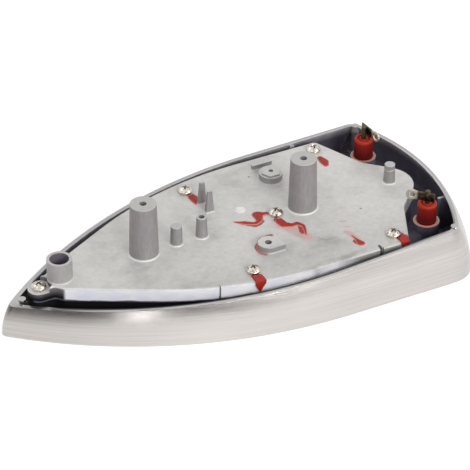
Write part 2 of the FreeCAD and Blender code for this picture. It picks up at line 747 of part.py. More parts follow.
under_plan = sketch(cover, "under_plan", level=COVER_FOOT)
draw(under_plan, chamber_pieces)
under = add(cover, "Pocket", "under_hollow", Length="cover_recess")
under.Profile = under_plan
under.Reversed = True
doc.recompute()
if under.Shape.Volume > 0.999 * softened.Shape.Volume:
    raise RuntimeError("the hollow under the cover cut nothing")

face_plan = sketch(cover, "ear_face_plan", level=COVER_TOP)
ring(face_plan, "face", "ear_face_radius", EAR_X, "0")
ear_face = add(cover, "Pocket", "ear_face", Length="ear_step")
ear_face.Profile = face_plan
doc.recompute()


def cone(name, foot, head, tall, x, y="0", z=COVER_TOP, kind="AdditiveCone"):
    return put(add(cover, kind, name, Radius1=foot, Radius2=head, Height=tall), x, y, z)


def disc(name, radius, tall, x, y="0", z=COVER_TOP, kind="AdditiveCylinder"):
    return put(add(cover, kind, name, Radius=radius, Height=tall), x, y, z)


INLET_X = EAR_X + " + inlet_back"
REAR_PEG_X = TERMINAL_X + " - rear_peg_ahead"
cone("front_post", "post_foot", "post_head", "post_height", "front_post_x")
cone("rear_post", "post_foot", "post_head", "post_height", "rear_post_x")
cone("stud", "stud_foot", "stud_head", "stud_height", "stud_x")
cone("socket", "socket_foot", "socket_head", "socket_height", "socket_x")
cone("rear_peg", "rear_peg_foot", "rear_peg_head", "rear_peg_height", REAR_PEG_X)
doc.recompute()

STANDING = [
    (size("front_post_x"), "post"),
    (size("rear_post_x"), "post"),
    (size("stud_x"), "stud"),
    (size("socket_x"), "socket"),
    (terminal_x - size("rear_peg_ahead"), "rear_peg"),
]


def is_root(edge):
    return any(is_ring(edge, x, 0, cover_top, size(name + "_foot")) for x, name in STANDING)


def is_head(edge):
    for x, name in STANDING:
        if is_ring(edge, x, 0, cover_top + size(name + "_height"), size(name + "_head")):
            return True
    return False


standing = cover.Tip
roots = add(cover, "Fillet", "roots", Radius="root_fillet")
roots.Base = (standing, edges_where(standing.Shape, is_root))
doc.recompute()
heads = add(cover, "Fillet", "heads", Radius="head_round")
heads.Base = (roots, edges_where(roots.Shape, is_head))
doc.recompute()

seat_plan = sketch(cover, "screw_seat_plan", level=COVER_FOOT)
for name, x, y in SCREW_PLACES[1:]:
    ring(seat_plan, name, "screw_boss", x, y)
seats = add(cover, "Pad", "screw_seats", Length="cover_recess")
seats.Profile = seat_plan
disc("inlet", "inlet_radius", "cover_thickness + inlet_height", INLET_X, z=COVER_FOOT)
disc("ejector_mark", "mark_radius", "mark_height", "mark_x", "mark_y")
disc("stat_seat", "stat_radius", "stat_foot", "stat_x", "stat_y")
stat_top = add(cover, "AdditivePrism", "stat_top", Circumradius="stat_hexagon", Height="stat_height")
put(stat_top, "stat_x", "stat_y", COVER_TOP)
fence = add(cover, "AdditiveBox", "fence", Length="fence_length", Width="fence_thickness",
            Height="fence_height")
put(fence, "fence_x", "fence_y", COVER_TOP)
disc("bracket_pad_round", "pad_round", "pad_height", "pad_x", "pad_y")
bracket_pad = add(cover, "AdditiveBox", "bracket_pad", Length="pad_reach", Width="pad_round * 2",
                  Height="pad_height")
put(bracket_pad, "pad_x", "pad_y - pad_round", COVER_TOP)
for name, y in (("front_blade", "blade_y"), ("back_blade", "blade_y + blade_pitch")):
    blade = add(cover, "AdditiveWedge", name, Xmin="0 - blade_foot / 2", Xmax="blade_foot / 2",
                X2min="0 - blade_head / 2", X2max="blade_head / 2", Zmin="0 - blade_thickness / 2",
                Zmax="blade_thickness / 2", Z2min="0 - blade_thickness / 4",
                Z2max="blade_thickness / 4", Ymax="blade_height")
    blade.Ymin = 0
    blade.Placement = Placement(Vector(0, 0, 0), Rotation(Vector(1, 0, 0), 90))
    put(blade, "blade_x", y, COVER_TOP)
doc.recompute()

CUT = "SubtractiveCylinder"
disc("inlet_bore", "inlet_bore", "cover_thickness + inlet_height", INLET_X, z=COVER_FOOT, kind=CUT)
POST_TOP = COVER_TOP + " + post_height"
tap_plan = sketch(cover, "post_tap_plan", level=POST_TOP)
ring(tap_plan, "front", "post_tap", "front_post_x", "0")
ring(tap_plan, "rear", "post_tap", "rear_post_x", "0")
taps = add(cover, "Pocket", "post_taps", Length="post_tap_depth")
taps.Profile = tap_plan
disc("socket_hole", "socket_bore", "socket_height", "socket_x", kind=CUT)
disc("pad_hole", "pad_bore", "pad_bore_depth", "pad_x", "pad_y",
     COVER_TOP + " + pad_height - pad_bore_depth", CUT)
disc("stat_dimple", "stat_dimple", "stat_dimple", "stat_x", "stat_y",
     COVER_TOP + " + stat_height - stat_dimple", CUT)
pass_plan = sketch(cover, "screw_pass_plan", level=COVER_TOP)
for name, x, y in SCREW_PLACES:
    ring(pass_plan, name, "screw_radius + screw_play", x, y)
passes = add(cover, "Pocket", "screw_passes", Length="cover_thickness")
passes.Profile = pass_plan
for name in ("notch_front", "notch_rear"):
    notch = add(cover, "SubtractiveBox", name, Length=name + "_width", Width="notch_depth * 2",
                Height="cover_thickness * 2")
    place_x = size(name + "_x")
    edge = edge_y(plan_pieces, place_x)
    notch.Placement = Placement(Vector(place_x, -edge - size("notch_depth"), cover_foot), Rotation())
groove = add(cover, "SubtractiveTorus", "rear_peg_groove", Radius1="rear_peg_head",
             Radius2="rear_peg_groove")
put(groove, REAR_PEG_X, "0", COVER_TOP + " + rear_peg_height - rear_peg_head")
groove.Refine = True
doc.recompute()

# Pan-head screws with a cross recess

screw = doc.addObject("PartDesign::Body", "screw")
screw_profile = sketch(screw, "screw_profile", "XZ_Plane")
shank = size("screw_radius")
tip_z = -size("screw_length")
bevel = shank / 4
head = size("screw_head_radius")
rise_z = size("screw_head_height")
edge_z = size("screw_edge_height")
crown = ((rise_z - edge_z) ** 2 + head ** 2) / (2 * (rise_z - edge_z))
half_turn = math.asin(head / crown) / 2
crown_mid = Vector(crown * math.sin(half_turn), rise_z - crown + crown * math.cos(half_turn), 0)
outline = [
    Vector(0, tip_z, 0),
    Vector(shank - bevel, tip_z, 0),
    Vector(shank, tip_z + bevel, 0),
    Vector(shank, 0, 0),
    Vector(head, 0, 0),
    Vector(head, edge_z, 0),
]
strokes = [Part.LineSegment(a, b) for a, b in zip(outline, outline[1:])]
strokes.append(Part.Arc(outline[-1], crown_mid, Vector(0, rise_z, 0)))
strokes.append(Part.LineSegment(Vector(0, rise_z, 0), outline[0]))
draw(screw_profile, strokes, smooth=False)
turned = add(screw, "Revolution", "screw_turned")
turned.Profile = screw_profile
turned.ReferenceAxis = (screw_profile, ["V_Axis"])
turned.Angle = 360
doc.recompute()
for name, length, width in (("recess_along", "screw_recess", "screw_recess_width / 2"),
                            ("recess_across", "screw_recess_width / 2", "screw_recess")):
    slot = add(screw, "SubtractiveBox", name, Length=length + " * 2", Width=width + " * 2",
               Height="screw_recess_depth")
    put(slot, "0 - " + length, "0 - " + width, "screw_head_height - screw_recess_depth")
doc.recompute()
cover_screws = doc.addObject("Part::Feature", "cover_screws")
copies = []
for index, spot in enumerate(SCREW_SPOTS):
    copy = screw.Shape.copy()
    copy.Placement = Placement(spot, Rotation(Vector(0, 0, 1), index * 23))
    copies.append(copy)
cover_screws.Shape = Part.makeCompound(copies)

# Heater terminals: ceramic bead, pin, silicone cap and tab on each side

CAP_TOP = "( terminal_height + cap_height )"


def tab_body(name, turn, y):
    """Flat strip standing on edge beside the pin, with a ring at one end."""
    body = doc.addObject("PartDesign::Body", name)
    profile = sketch(body, name + "_profile", "XZ_Plane", "tab_seat - pin_radius")
    half = size("tab_width") / 2
    ring_x = size("tab_length")
    ring_radius = size("tab_ring")
    meet = ring_x - math.sqrt(ring_radius ** 2 - half ** 2)
    tail = -size("tab_tail")
    far_end = Vector(ring_x + ring_radius, 0, 0)
    draw(profile, [
        Part.LineSegment(Vector(tail, -half, 0), Vector(meet, -half, 0)),
        Part.Arc(Vector(meet, -half, 0), far_end, Vector(meet, half, 0)),
        Part.LineSegment(Vector(meet, half, 0), Vector(tail, half, 0)),
        Part.LineSegment(Vector(tail, half, 0), Vector(tail, -half, 0)),
    ], smooth=False)
    hole = profile.addGeometry(Part.Circle(Vector(ring_x, 0, 0), Vector(0, 0, 1), 1), False)
    drive(profile, "hole_radius", "tab_hole", "Radius", hole, size("tab_hole"))
    drive(profile, "hole_x", "tab_length", "DistanceX", -1, 1, hole, 3, ring_x)
    profile.addConstraint(Sketcher.Constraint("PointOnObject", hole, 3, -1))
    strip = add(body, "Pad", name + "_strip", Length="tab_thickness")
    strip.Profile = profile
    strip.Reversed = True
    doc.recompute()
    body.Placement = Placement(Vector(0, 0, 0), Rotation(Vector(0, 0, 1), size(turn)))
    put(body, TERMINAL_X, y, CAP_TOP + " + tab_lift + tab_width / 2")
    doc.recompute()
    return body


def cap_body(name, y):
    body = doc.addObject("PartDesign::Body", name)
    profile = sketch(body, name + "_profile", "XZ_Plane")
    sheath = size("heater_radius")
    pin = size("pin_radius")
    skin_radius = size("cap_radius")
    tall = size("cap_height")
    soft = size("cap_round")
    step = size("heater_stub") + size("bead_height")
    groove_out = size("cap_groove_radius") + size("cap_groove_width") / 2
    groove_in = size("cap_groove_radius") - size("cap_groove_width") / 2
    groove_z = tall - size("cap_groove_depth")
    diagonal = soft * (1 - math.sqrt(0.5))
    before = [
        Vector(sheath, 0, 0),
        Vector(skin_radius, 0, 0),
        Vector(skin_radius, tall - soft, 0),
    ]
    after = [
        Vector(skin_radius - soft, tall, 0),
        Vector(groove_out, tall, 0),
        Vector(groove_out, groove_z, 0),
        Vector(groove_in, groove_z, 0),
        Vector(groove_in, tall, 0),
        Vector(pin, tall, 0),
        Vector(pin, step, 0),
        Vector(sheath, step, 0),
    ]
    lines = [Part.LineSegment(a, b) for a, b in zip(before, before[1:])]
    lines.append(Part.Arc(before[-1], Vector(skin_radius - diagonal, tall - diagonal, 0), after[0]))
    lines += [Part.LineSegment(a, b) for a, b in zip(after, after[1:])]
    lines.append(Part.LineSegment(after[-1], before[0]))
    draw(profile, lines, smooth=False)
    cap = add(body, "Revolution", name + "_turned")
    cap.Profile = profile
    cap.ReferenceAxis = (profile, ["V_Axis"])
    cap.Angle = 360
    put(body, TERMINAL_X, y, "terminal_height")
    return body


terminals = []
for side, y in (("left", TERMINAL_Y), ("right", "0 - " + TERMINAL_Y)):
    bead_stock = bind(doc.addObject("Part::Cylinder", "bead_stock_" + side),
                      Radius="heater_radius - bead_room", Height="bead_height")
    put(bead_stock, TERMINAL_X, y, "terminal_height + heater_stub")
    pin_stock = bind(doc.addObject("Part::Cylinder", "pin_stock_" + side), Radius="pin_radius",
                     Height="cap_height + pin_stand - heater_stub")
    put(pin_stock, TERMINAL_X, y, "terminal_height + heater_stub")
    bead = doc.addObject("Part::Cut", "terminal_bead_" + side)
    bead.Base = bead_stock
    bead.Tool = pin_stock
    tab = tab_body("terminal_tab_" + side, "tab_%s_turn" % side, y)
    pin = doc.addObject("Part::Cut", "terminal_pin_" + side)
    pin.Base = pin_stock
    pin.Tool = tab
    cap = cap_body("terminal_seal_" + side, y)
    terminals += [bead, pin, cap, tab]
doc.recompute()

# Silicone squeezed out on the cover: each smear is a run of round dabs, drawn out between them

front_near = Vector(size("front_screw_x"), -front_screw_y, 0)
front_far = mirrored(front_near)
rear_near = Vector(rear_screw_x, -rear_screw_y, 0)
rear_far = mirrored(rear_near)
centre = Vector(size("centre_screw_x"), 0, 0)
pad_centre = Vector(size("pad_x"), size("pad_y"), 0)
pad_line = size("pad_round") + 0.45
SMEARS = [
    (front_far, [(0.9, -2.2, 1.6), (1.2, -5.8, 2.4), (0.8, -8.9, 1.7), (0.2, -10.9, 0.7)]),
    (rear_far, [(0.0, -6.8, 1.6), (0.2, -10.4, 2.4), (-0.4, -13.4, 1.4)]),
    (centre, [(-20.6, 3.2, 0.5), (-18.6, 1.6, 1.0), (-16.3, 0.2, 1.6), (-13.6, -1.6, 1.3),
              (-11.7, -2.4, 1.2), (-9.4, -1.2, 1.4), (-8.6, 1.2, 2.2), (-8.0, 3.4, 2.8),
              (-5.4, 3.2, 1.3), (-3.2, 2.2, 1.2)]),
    (centre, [(-0.6, -3.2, 1.2), (-1.0, -6.4, 2.4), (-0.6, -9.0, 2.3), (2.5, -11.2, 1.5),
              (5.4, -11.0, 1.5), (7.2, -13.8, 1.1), (6.2, -17.6, 0.8), (5.0, -20.8, 0.5)]),
    (rear_near, [(-16.6, 1.0, 2.0), (-17.0, 4.6, 0.8), (-17.4, 8.6, 0.4)]),
]
PAD_LINE = [(8.6, 7.6, 0.4), (4.4, 6.6, 0.5), (0, pad_line, 0.6), (-3.6, 3.9, 0.6), (-pad_line, 0.4, 0.6),
            (-4.4, -3.4, 0.45)]
SMEARS.append((pad_centre, PAD_LINE))


def dab_run(anchor, dabs, tall):
    """Solid covering dabs of sealant and the strokes between them."""
    faces = []
    for x, y, radius in dabs:
        spot = anchor + Vector(x, y, 0)
        faces.append(Part.Face(Part.Wire(Part.makeCircle(radius, spot))))
    for (ax, ay, ar), (bx, by, br) in zip(dabs, dabs[1:]):
        a = anchor + Vector(ax, ay, 0)
        b = anchor + Vector(bx, by, 0)
        along = b - a
        lean = math.acos((ar - br) / along.Length)
        heading = math.atan2(along.y, along.x)
        corners = []
        for spot, radius, turn in ((a, ar, heading - lean), (b, br, heading - lean),
                                   (b, br, heading + lean), (a, ar, heading + lean)):
            corners.append(spot + Vector(math.cos(turn), math.sin(turn), 0) * radius)
        faces.append(Part.Face(Part.makePolygon(corners + corners[:1])))
    solids = [face.extrude(Vector(0, 0, tall)) for face in faces]
    return solids[0].fuse(solids[1:]).removeSplitter()


def clear_of_heads(shape):
    """Takes away what the screws and the cover itself occupy."""
    gap = size("smear_gap")
    heads = [Part.makeCylinder(head + gap, rise_z * 2, spot - Vector(0, 0, rise_z)) for spot in SCREW_SPOTS]
    return shape.cut(heads + [cover.Shape])


lift = Vector(0, 0, cover_top)
smears = []
for anchor, dabs in SMEARS:
    smears += clear_of_heads(dab_run(anchor + lift, dabs, size("smear_height"))).Solids

# Two drips that ran over the cover's edge and thin out down its flank
FLANK_DRIPS = [
    (front_near, [(-1.2, -3.6, 1.6), (-0.2, -5.2, 2.4), (-0.4, -9.5, 2.6)], (-3.4, 2.4), (-0.9, 5.4)),
    (rear_near, [(-0.6, -3.2, 1.1), (2.6, -3.0, 1.6), (2.6, -8.2, 2.8)], (0.2, 4.4), (3.4, 4.8)),
]
thick = size("drip_height")
for anchor, dabs, (left_x, right_x), (tip_x, fall) in FLANK_DRIPS:
    low_z = cover_top - fall
    curtain = dab_run(anchor + Vector(0, 0, low_z), dabs, fall + thick)
    edge_out = edge_y(plan_pieces, anchor.x) + thick
    sweep = Vector(0, 2 * edge_out, 0)
    fan = [
        Vector(anchor.x + tip_x, -edge_out, low_z),
        Vector(anchor.x + right_x, -edge_out, cover_top - thick),
        Vector(anchor.x + right_x, -edge_out, cover_top + thick),
        Vector(anchor.x + left_x, -edge_out, cover_top + thick),
        Vector(anchor.x + left_x, -edge_out, cover_top - thick),
    ]
    spread = Part.Face(Part.makePolygon(fan + fan[:1])).extrude(sweep)
    smears += clear_of_heads(curtain.common(spread)).Solids

# Film of sealant round the foot of each cap
for y in (terminal_y, -terminal_y):
    foot = Vector(terminal_x, y, size("terminal_height"))
    film = Part.makeCylinder(size("terminal_boss") - 0.3, size("film_height"), foot)
    smears.append(film.cut(Part.makeCylinder(size("cap_radius"), size("film_height"), foot)))
sealant = doc.addObject("Part::Feature", "sealant_smears")
sealant.Shape = Part.makeCompound(smears)
doc.recompute()

# Nodes: each sub-part is written to a file of its own name

NODES = [soleplate, gasket, cover, heater, cover_screws, sealant] + terminals
for item in doc.Objects:
    if "Invalid" in item.State or "Error" in item.State:
        raise RuntimeError("%s did not compute: %s" % (item.Label, item.State))
for item in NODES:
    shape = item.Shape
    if shape.isNull() or not shape.isValid() or not shape.Solids:
        raise RuntimeError("%s has no valid solid" % item.Label)
os.makedirs("parts", exist_ok=True)
for item in NODES:
    item.Shape.exportStep("parts/%s.step" % item.Label)
    print(item.Label, len(item.Shape.Solids), round(item.Shape.Volume, 1))
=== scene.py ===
import math

import bmesh
import bpy
from mathutils import Matrix, Vector, kdtree, noise


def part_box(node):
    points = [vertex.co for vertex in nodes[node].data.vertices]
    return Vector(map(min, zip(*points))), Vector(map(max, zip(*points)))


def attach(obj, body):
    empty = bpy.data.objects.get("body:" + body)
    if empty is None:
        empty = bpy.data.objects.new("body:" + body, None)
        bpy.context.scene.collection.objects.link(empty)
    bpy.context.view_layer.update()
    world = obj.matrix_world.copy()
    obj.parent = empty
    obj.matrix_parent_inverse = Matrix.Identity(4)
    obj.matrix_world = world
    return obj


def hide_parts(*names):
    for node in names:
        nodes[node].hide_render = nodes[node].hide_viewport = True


bl_info = {
    "name": "Iron soleplate looks",
    "version": (1, 0, 0),
    "blender": (4, 5, 0),
    "location": "View3D > Sidebar > Soleplate",
    "description": "Finishes and small pieces of a steam iron soleplate",
    "category": "Object",
}

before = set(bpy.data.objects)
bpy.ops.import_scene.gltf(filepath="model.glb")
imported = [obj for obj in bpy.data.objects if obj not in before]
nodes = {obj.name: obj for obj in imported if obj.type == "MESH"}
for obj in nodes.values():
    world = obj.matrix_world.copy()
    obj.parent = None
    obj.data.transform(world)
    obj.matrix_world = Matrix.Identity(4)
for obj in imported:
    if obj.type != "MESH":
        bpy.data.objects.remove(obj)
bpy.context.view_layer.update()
MM = 0.001
WELD = 0.001 * MM
HANDS = ("left", "right")

# Places, radii and heights of the CAD model that the finishes follow, in millimetres
SHOULDER_X, HALF_WIDTH, SIDE_RADIUS = 34, 58, 223.6
HEEL_X, HEEL_RADIUS, CORNER_RADIUS, LEAN_RADIUS = 5, 110, 14, 46
RIM_MIDDLE, RIM_SLOPE = 20.65, 0.04304
BOSS_TOP = 18.8
NOSE_PEG, HEEL_PEGS, PEG_RADIUS = (-104.6, 0), ((94, 47.6), (94, -47.6)), 2.0
POST_HEIGHT, FLANK_HEIGHT = 27.6, 7
INLET, INLET_BORE, LUG_X = (-85.6, 0), 4.5, -87.4
PAD, PAD_RING, EJECTOR_MARK, EJECTOR_RADIUS = (9.4, -22), 5.6, (11.6, 10.4), 2.2

# Rib inside the heel: middle of its top, heights, half thickness, where it starts and ends
RIB_X, RIB_Y, RIB_FOOT, RIB_TOP = 102.6, -22, 4.5, 23
RIB_HALF_FOOT, RIB_HALF_TOP = 1.0, 0.7
RIB_REACH_FOOT, RIB_REACH_TOP = (101, 111), (100, 105.4)
RIB_BEVEL = 0.3

# Marks on the cover, as spots of the plan or lines through them
SMUDGES = (((-51, -12), 13), ((-57, 18), 12), ((-9, -1), 10), ((19, 25), 11), ((34, -29), 12))
SLIT = ((55.6, -48), (56, -43.6))
SCUFF = ((22, -45), (40, -44.6), (52, -44.4))
HAIRLINE = ((33, -23.6), (35.7, -28.3), (41.6, -28.5))
SPECKS = ((27.7, 33.4), (62.9, -13.6))
WIDE_FILM = ((23.5, -8), (26.5, -15), (29.6, -22.5))
SMALL_FILM = ((48, -27), (49.4, -34))
DASHES = (((49, -18.2), (51.4, -19.4)), ((49, -22.8), (51.4, -24.2)))
LEFT_SMEAR = ((21.8, 2.7), (16.7, 3.0), (16.4, -2), (12.5, -3.9), (7.6, 0.7))
RIGHT_SMEAR = ((22.9, -4.1), (23.8, -7.8), (26.6, -10.8), (30.4, -11.4), (30.6, -15), (29.4, -18))
SMALL_SMEAR = ((47.6, -35.6), (48.6, -38))
SCREW_SMEAR = ((68.4, -41), (70, -44.5), (68.6, -49))

# Lamps: name, place, width and height in metres, power in watts; all look at the aim
LAMP_AIM = (0, 0, 0.015)
LAMPS = (
    ("soft_box_front", (0.1, -1.6, 0.9), 0.8, 0.5, 16.0),
    ("soft_box_left", (-0.75, -0.35, 0.95), 0.7, 0.7, 1.4),
    ("soft_box_right", (0.7, -0.6, 0.85), 0.6, 0.6, 1.4),
    ("soft_box_back", (-0.6, 0.7, 0.9), 0.9, 0.5, 1.2),
    ("front_strip", (-0.58, -1.05, 0.26), 0.02, 0.56, 1.3),
)

# Camera: frame, focal length and shift in pixels, angles in degrees, the rest in millimetres
FRAME_PX, FOCAL_PX, SHIFT_PX = 470, 2502.1, (-9.708, 28.525)
AZIMUTH, ELEVATION, ROLL = -27.3215, 36.4055, 0.4708
DISTANCE, TARGET_X = 1183.1, 8.6
SENSOR_WIDTH = 36

# Surroundings: way to the dark side of the room in degrees, floor in metres and shares of white
DARK_TURN = -50
FLOOR_SIZE, FLOOR_DROP, FLOOR_GLOW, FLOOR_GREY = 6, 0.3 * MM, 0.78, 0.42


def screen(red, green, blue):
    """Linear colour from the 0 to 255 values of a screen."""
    parts = [part / 255 for part in (red, green, blue)]
    return tuple(part / 12.92 if part <= 0.04045 else ((part + 0.055) / 1.055) ** 2.4
                 for part in parts)


# Node trees

class Signal:
    """A node's output; arithmetic on it adds Math nodes."""

    def __init__(self, graph, socket):
        self.graph = graph
        self.socket = socket

    def math(self, operation, *values):
        links = dict(enumerate(values))
        return self.graph.node("Math", {"operation": operation}, links)

    def __add__(self, other):
        return self.math("ADD", self, other)

    def __radd__(self, other):
        return self.math("ADD", other, self)

    def __sub__(self, other):
        return self.math("SUBTRACT", self, other)

    def __rsub__(self, other):
        return self.math("SUBTRACT", other, self)

    def __mul__(self, other):
        return self.math("MULTIPLY", self, other)

    def __rmul__(self, other):
        return self.math("MULTIPLY", other, self)

    def __truediv__(self, other):
        return self.math("DIVIDE", self, other)

    def __pow__(self, other):
        return self.math("POWER", self, other)

    def __abs__(self):
        return self.math("ABSOLUTE", self)

    def root(self):
        return self.math("SQRT", self)

    def least(self, other):
        return self.math("MINIMUM", self, other)

    def most(self, other):
        return self.math("MAXIMUM", self, other)

    def rise(self, low, high):
        """0 at low, 1 at high, eased between; low may be the larger one."""
        links = {"Value": self, "From Min": low, "From Max": high}
        return self.graph.node("MapRange", {"interpolation_type": "SMOOTHSTEP"}, links)

    def parts(self):
        """The three numbers of a vector."""
        first = self.graph.node("SeparateXYZ", {}, {0: self})
        return [Signal(self.graph, socket) for socket in first.socket.node.outputs]


class Graph:
    """Adds nodes to a node tree."""

    def __init__(self, tree):
        self.tree = tree
        tree.nodes.clear()

    def node(self, kind, settings=None, links=None, output=0):
        """Adds a node, sets its options, and links or sets its inputs."""
        item = self.tree.nodes.new("ShaderNode" + kind)
        for name, value in (settings or {}).items():
            setattr(item, name, value)
        for key, value in (links or {}).items():
            if isinstance(value, Signal):
                self.tree.links.new(value.socket, item.inputs[key])
            else:
                item.inputs[key].default_value = value
        return Signal(self, item.outputs[output]) if item.outputs else None


class Finish(Graph):
    """A material with one Principled shader; places on it are in millimetres."""

    def __init__(self, name):
        self.material = bpy.data.materials.new(name)
        self.material.use_nodes = True
        super().__init__(self.material.node_tree)
        here = self.node("TexCoord", {}, {}, "Object")
        self.place = self.node("VectorMath", {"operation": "SCALE"}, {0: here, "Scale": 1 / MM})
        self.x, self.y, self.z = self.place.parts()
        _, self.across, self.up = self.node("TexCoord", {}, {}, "Normal").parts()

    def grain(self, patch, stretch=(1, 1, 1), detail=3, rough=0.5, shift=0):
        """Noise with patches of about that many millimetres, drawn out by stretch."""
        scale = [1 / (patch * axis) for axis in stretch]
        drawn = self.node("VectorMath", {"operation": "MULTIPLY_ADD"},
                          {0: self.place, 1: scale, 2: (shift, shift, shift)})
        links = {"Vector": drawn, "Scale": 1, "Detail": detail, "Roughness": rough}
        return self.node("TexNoise", {}, links)

    def near(self, spot, inner, outer):
        """1 within inner millimetres of a spot of the plan, 0 beyond outer."""
        away = ((self.x - spot[0]) ** 2 + (self.y - spot[1]) ** 2).root()
        return away.rise(outer, inner)

    def beside(self, *path):
        """Millimetres from a line through spots of the plan."""
        nearest = None
        for (x0, y0), (x1, y1) in zip(path, path[1:]):
            run_x, run_y = x1 - x0, y1 - y0
            along = ((self.x - x0) * run_x + (self.y - y0) * run_y) / (run_x ** 2 + run_y ** 2)
            along = along.most(0).least(1)
            away = ((self.x - x0 - along * run_x) ** 2 + (self.y - y0 - along * run_y) ** 2).root()
            nearest = nearest.least(away) if nearest else away
        return nearest

    def mix(self, share, first, second):
        """The first colour where share is 0, the second where it is 1."""
        links = {0: share, 6: opaque(first), 7: opaque(second)}
        return self.node("Mix", {"data_type": "RGBA"}, links, 2)

    def tone(self, colour, factor):
        """A colour made lighter or darker all over."""
        grey = self.node("CombineColor", {}, {0: factor, 1: factor, 2: factor})
        links = {0: 1.0, 6: opaque(colour), 7: grey}
        return self.node("Mix", {"data_type": "RGBA", "blend_type": "MULTIPLY"}, links, 2)

    def bumps(self, height, depth, under=None):
        """Relief of that depth in millimetres."""
        links = {"Height": height, "Distance": depth * MM, "Strength": 1.0}
        if under:
            links["Normal"] = under
        return self.node("Bump", {}, links)

    def surface(self, **sockets):
        """Ends the material with its shader; names of sockets have underscores for spaces."""
        named = {name.replace("_", " "): value for name, value in sockets.items()}
        if isinstance(named.get("Base Color"), tuple):
            named["Base Color"] = opaque(named["Base Color"])
        shader = self.node("BsdfPrincipled", {}, named)
        self.node("OutputMaterial", {}, {0: shader})
        return self


def opaque(colour):
    """A plain colour with full alpha; a signal stays as it is."""
    return colour if isinstance(colour, Signal) else (*colour[:3], 1.0)


# Pieces

def dress(node, finish):
    """Gives a CAD node its finish."""
    nodes[node].data.materials.clear()
    nodes[node].data.materials.append(finish.material)


def merged(node):
    """Mesh of a CAD node with its loose triangles joined."""
    shape = bmesh.new()
    shape.from_mesh(nodes[node].data)
    bmesh.ops.remove_doubles(shape, verts=shape.verts, dist=WELD)
    return shape


def islands(shape):
    """Vertices of each separate body in a mesh."""
    left = set(shape.verts)
    found = []
    while left:
        group = [left.pop()]
        for vert in group:
            for edge in vert.link_edges:
                other = edge.other_vert(vert)
                if other in left:
                    left.remove(other)
                    group.append(other)
        found.append(group)
    return found


def object_of(shape, name):
    """Object in the scene from a mesh in work, which is freed."""
    mesh = bpy.data.meshes.new(name)
    shape.to_mesh(mesh)
    shape.free()
    item = bpy.data.objects.new(name, mesh)
    bpy.context.scene.collection.objects.link(item)
    return item


def applied(item):
    """Mesh of an object with its modifiers applied; the object goes."""
    graph = bpy.context.evaluated_depsgraph_get()
    mesh = bpy.data.meshes.new_from_object(item.evaluated_get(graph))
    shape = bmesh.new()
    shape.from_mesh(mesh)
    bpy.data.objects.remove(item)
    return shape


def settle(shape, name, replaced, finish, crease=35):
    """Makes a mesh a piece of the object, in place of CAD nodes."""
    bmesh.ops.recalc_face_normals(shape, faces=shape.faces)
    for face in shape.faces:
        face.smooth = True
    item = object_of(shape, name)
    item.data.set_sharp_from_angle(angle=math.radians(crease))
    item.data.materials.append(finish.material)
    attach(item, "root")
    if replaced:
        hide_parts(*replaced)
    return item


def rounded(shape, edges, width):
    """Bevels edges by a width in millimetres."""
    bmesh.ops.bevel(shape, geom=edges, offset=width * MM, offset_type="OFFSET", segments=2,
                    profile=0.5, affect="EDGES", material=-1, clamp_overlap=True)


def turned(profile, steps):
    """Closed body turned from a profile of (radius, height) in millimetres."""
    shape = bmesh.new()
    verts = [shape.verts.new((radius * MM, 0, height * MM)) for radius, height in profile]
    edges = [shape.edges.new(pair) for pair in zip(verts, verts[1:])]
    bmesh.ops.spin(shape, geom=verts + edges, cent=(0, 0, 0), axis=(0, 0, 1), angle=math.tau,
                   steps=steps, use_merge=True)
    bmesh.ops.remove_doubles(shape, verts=shape.verts, dist=2 * WELD)
    return shape


def arc(centre, radius, start, end, count):
    """Points of an arc in a profile; angles in degrees from the radius axis."""
    turns = [math.radians(start + (end - start) * index / count) for index in range(count + 1)]
    return [(centre[0] + radius * math.cos(turn), centre[1] + radius * math.sin(turn))
            for turn in turns]


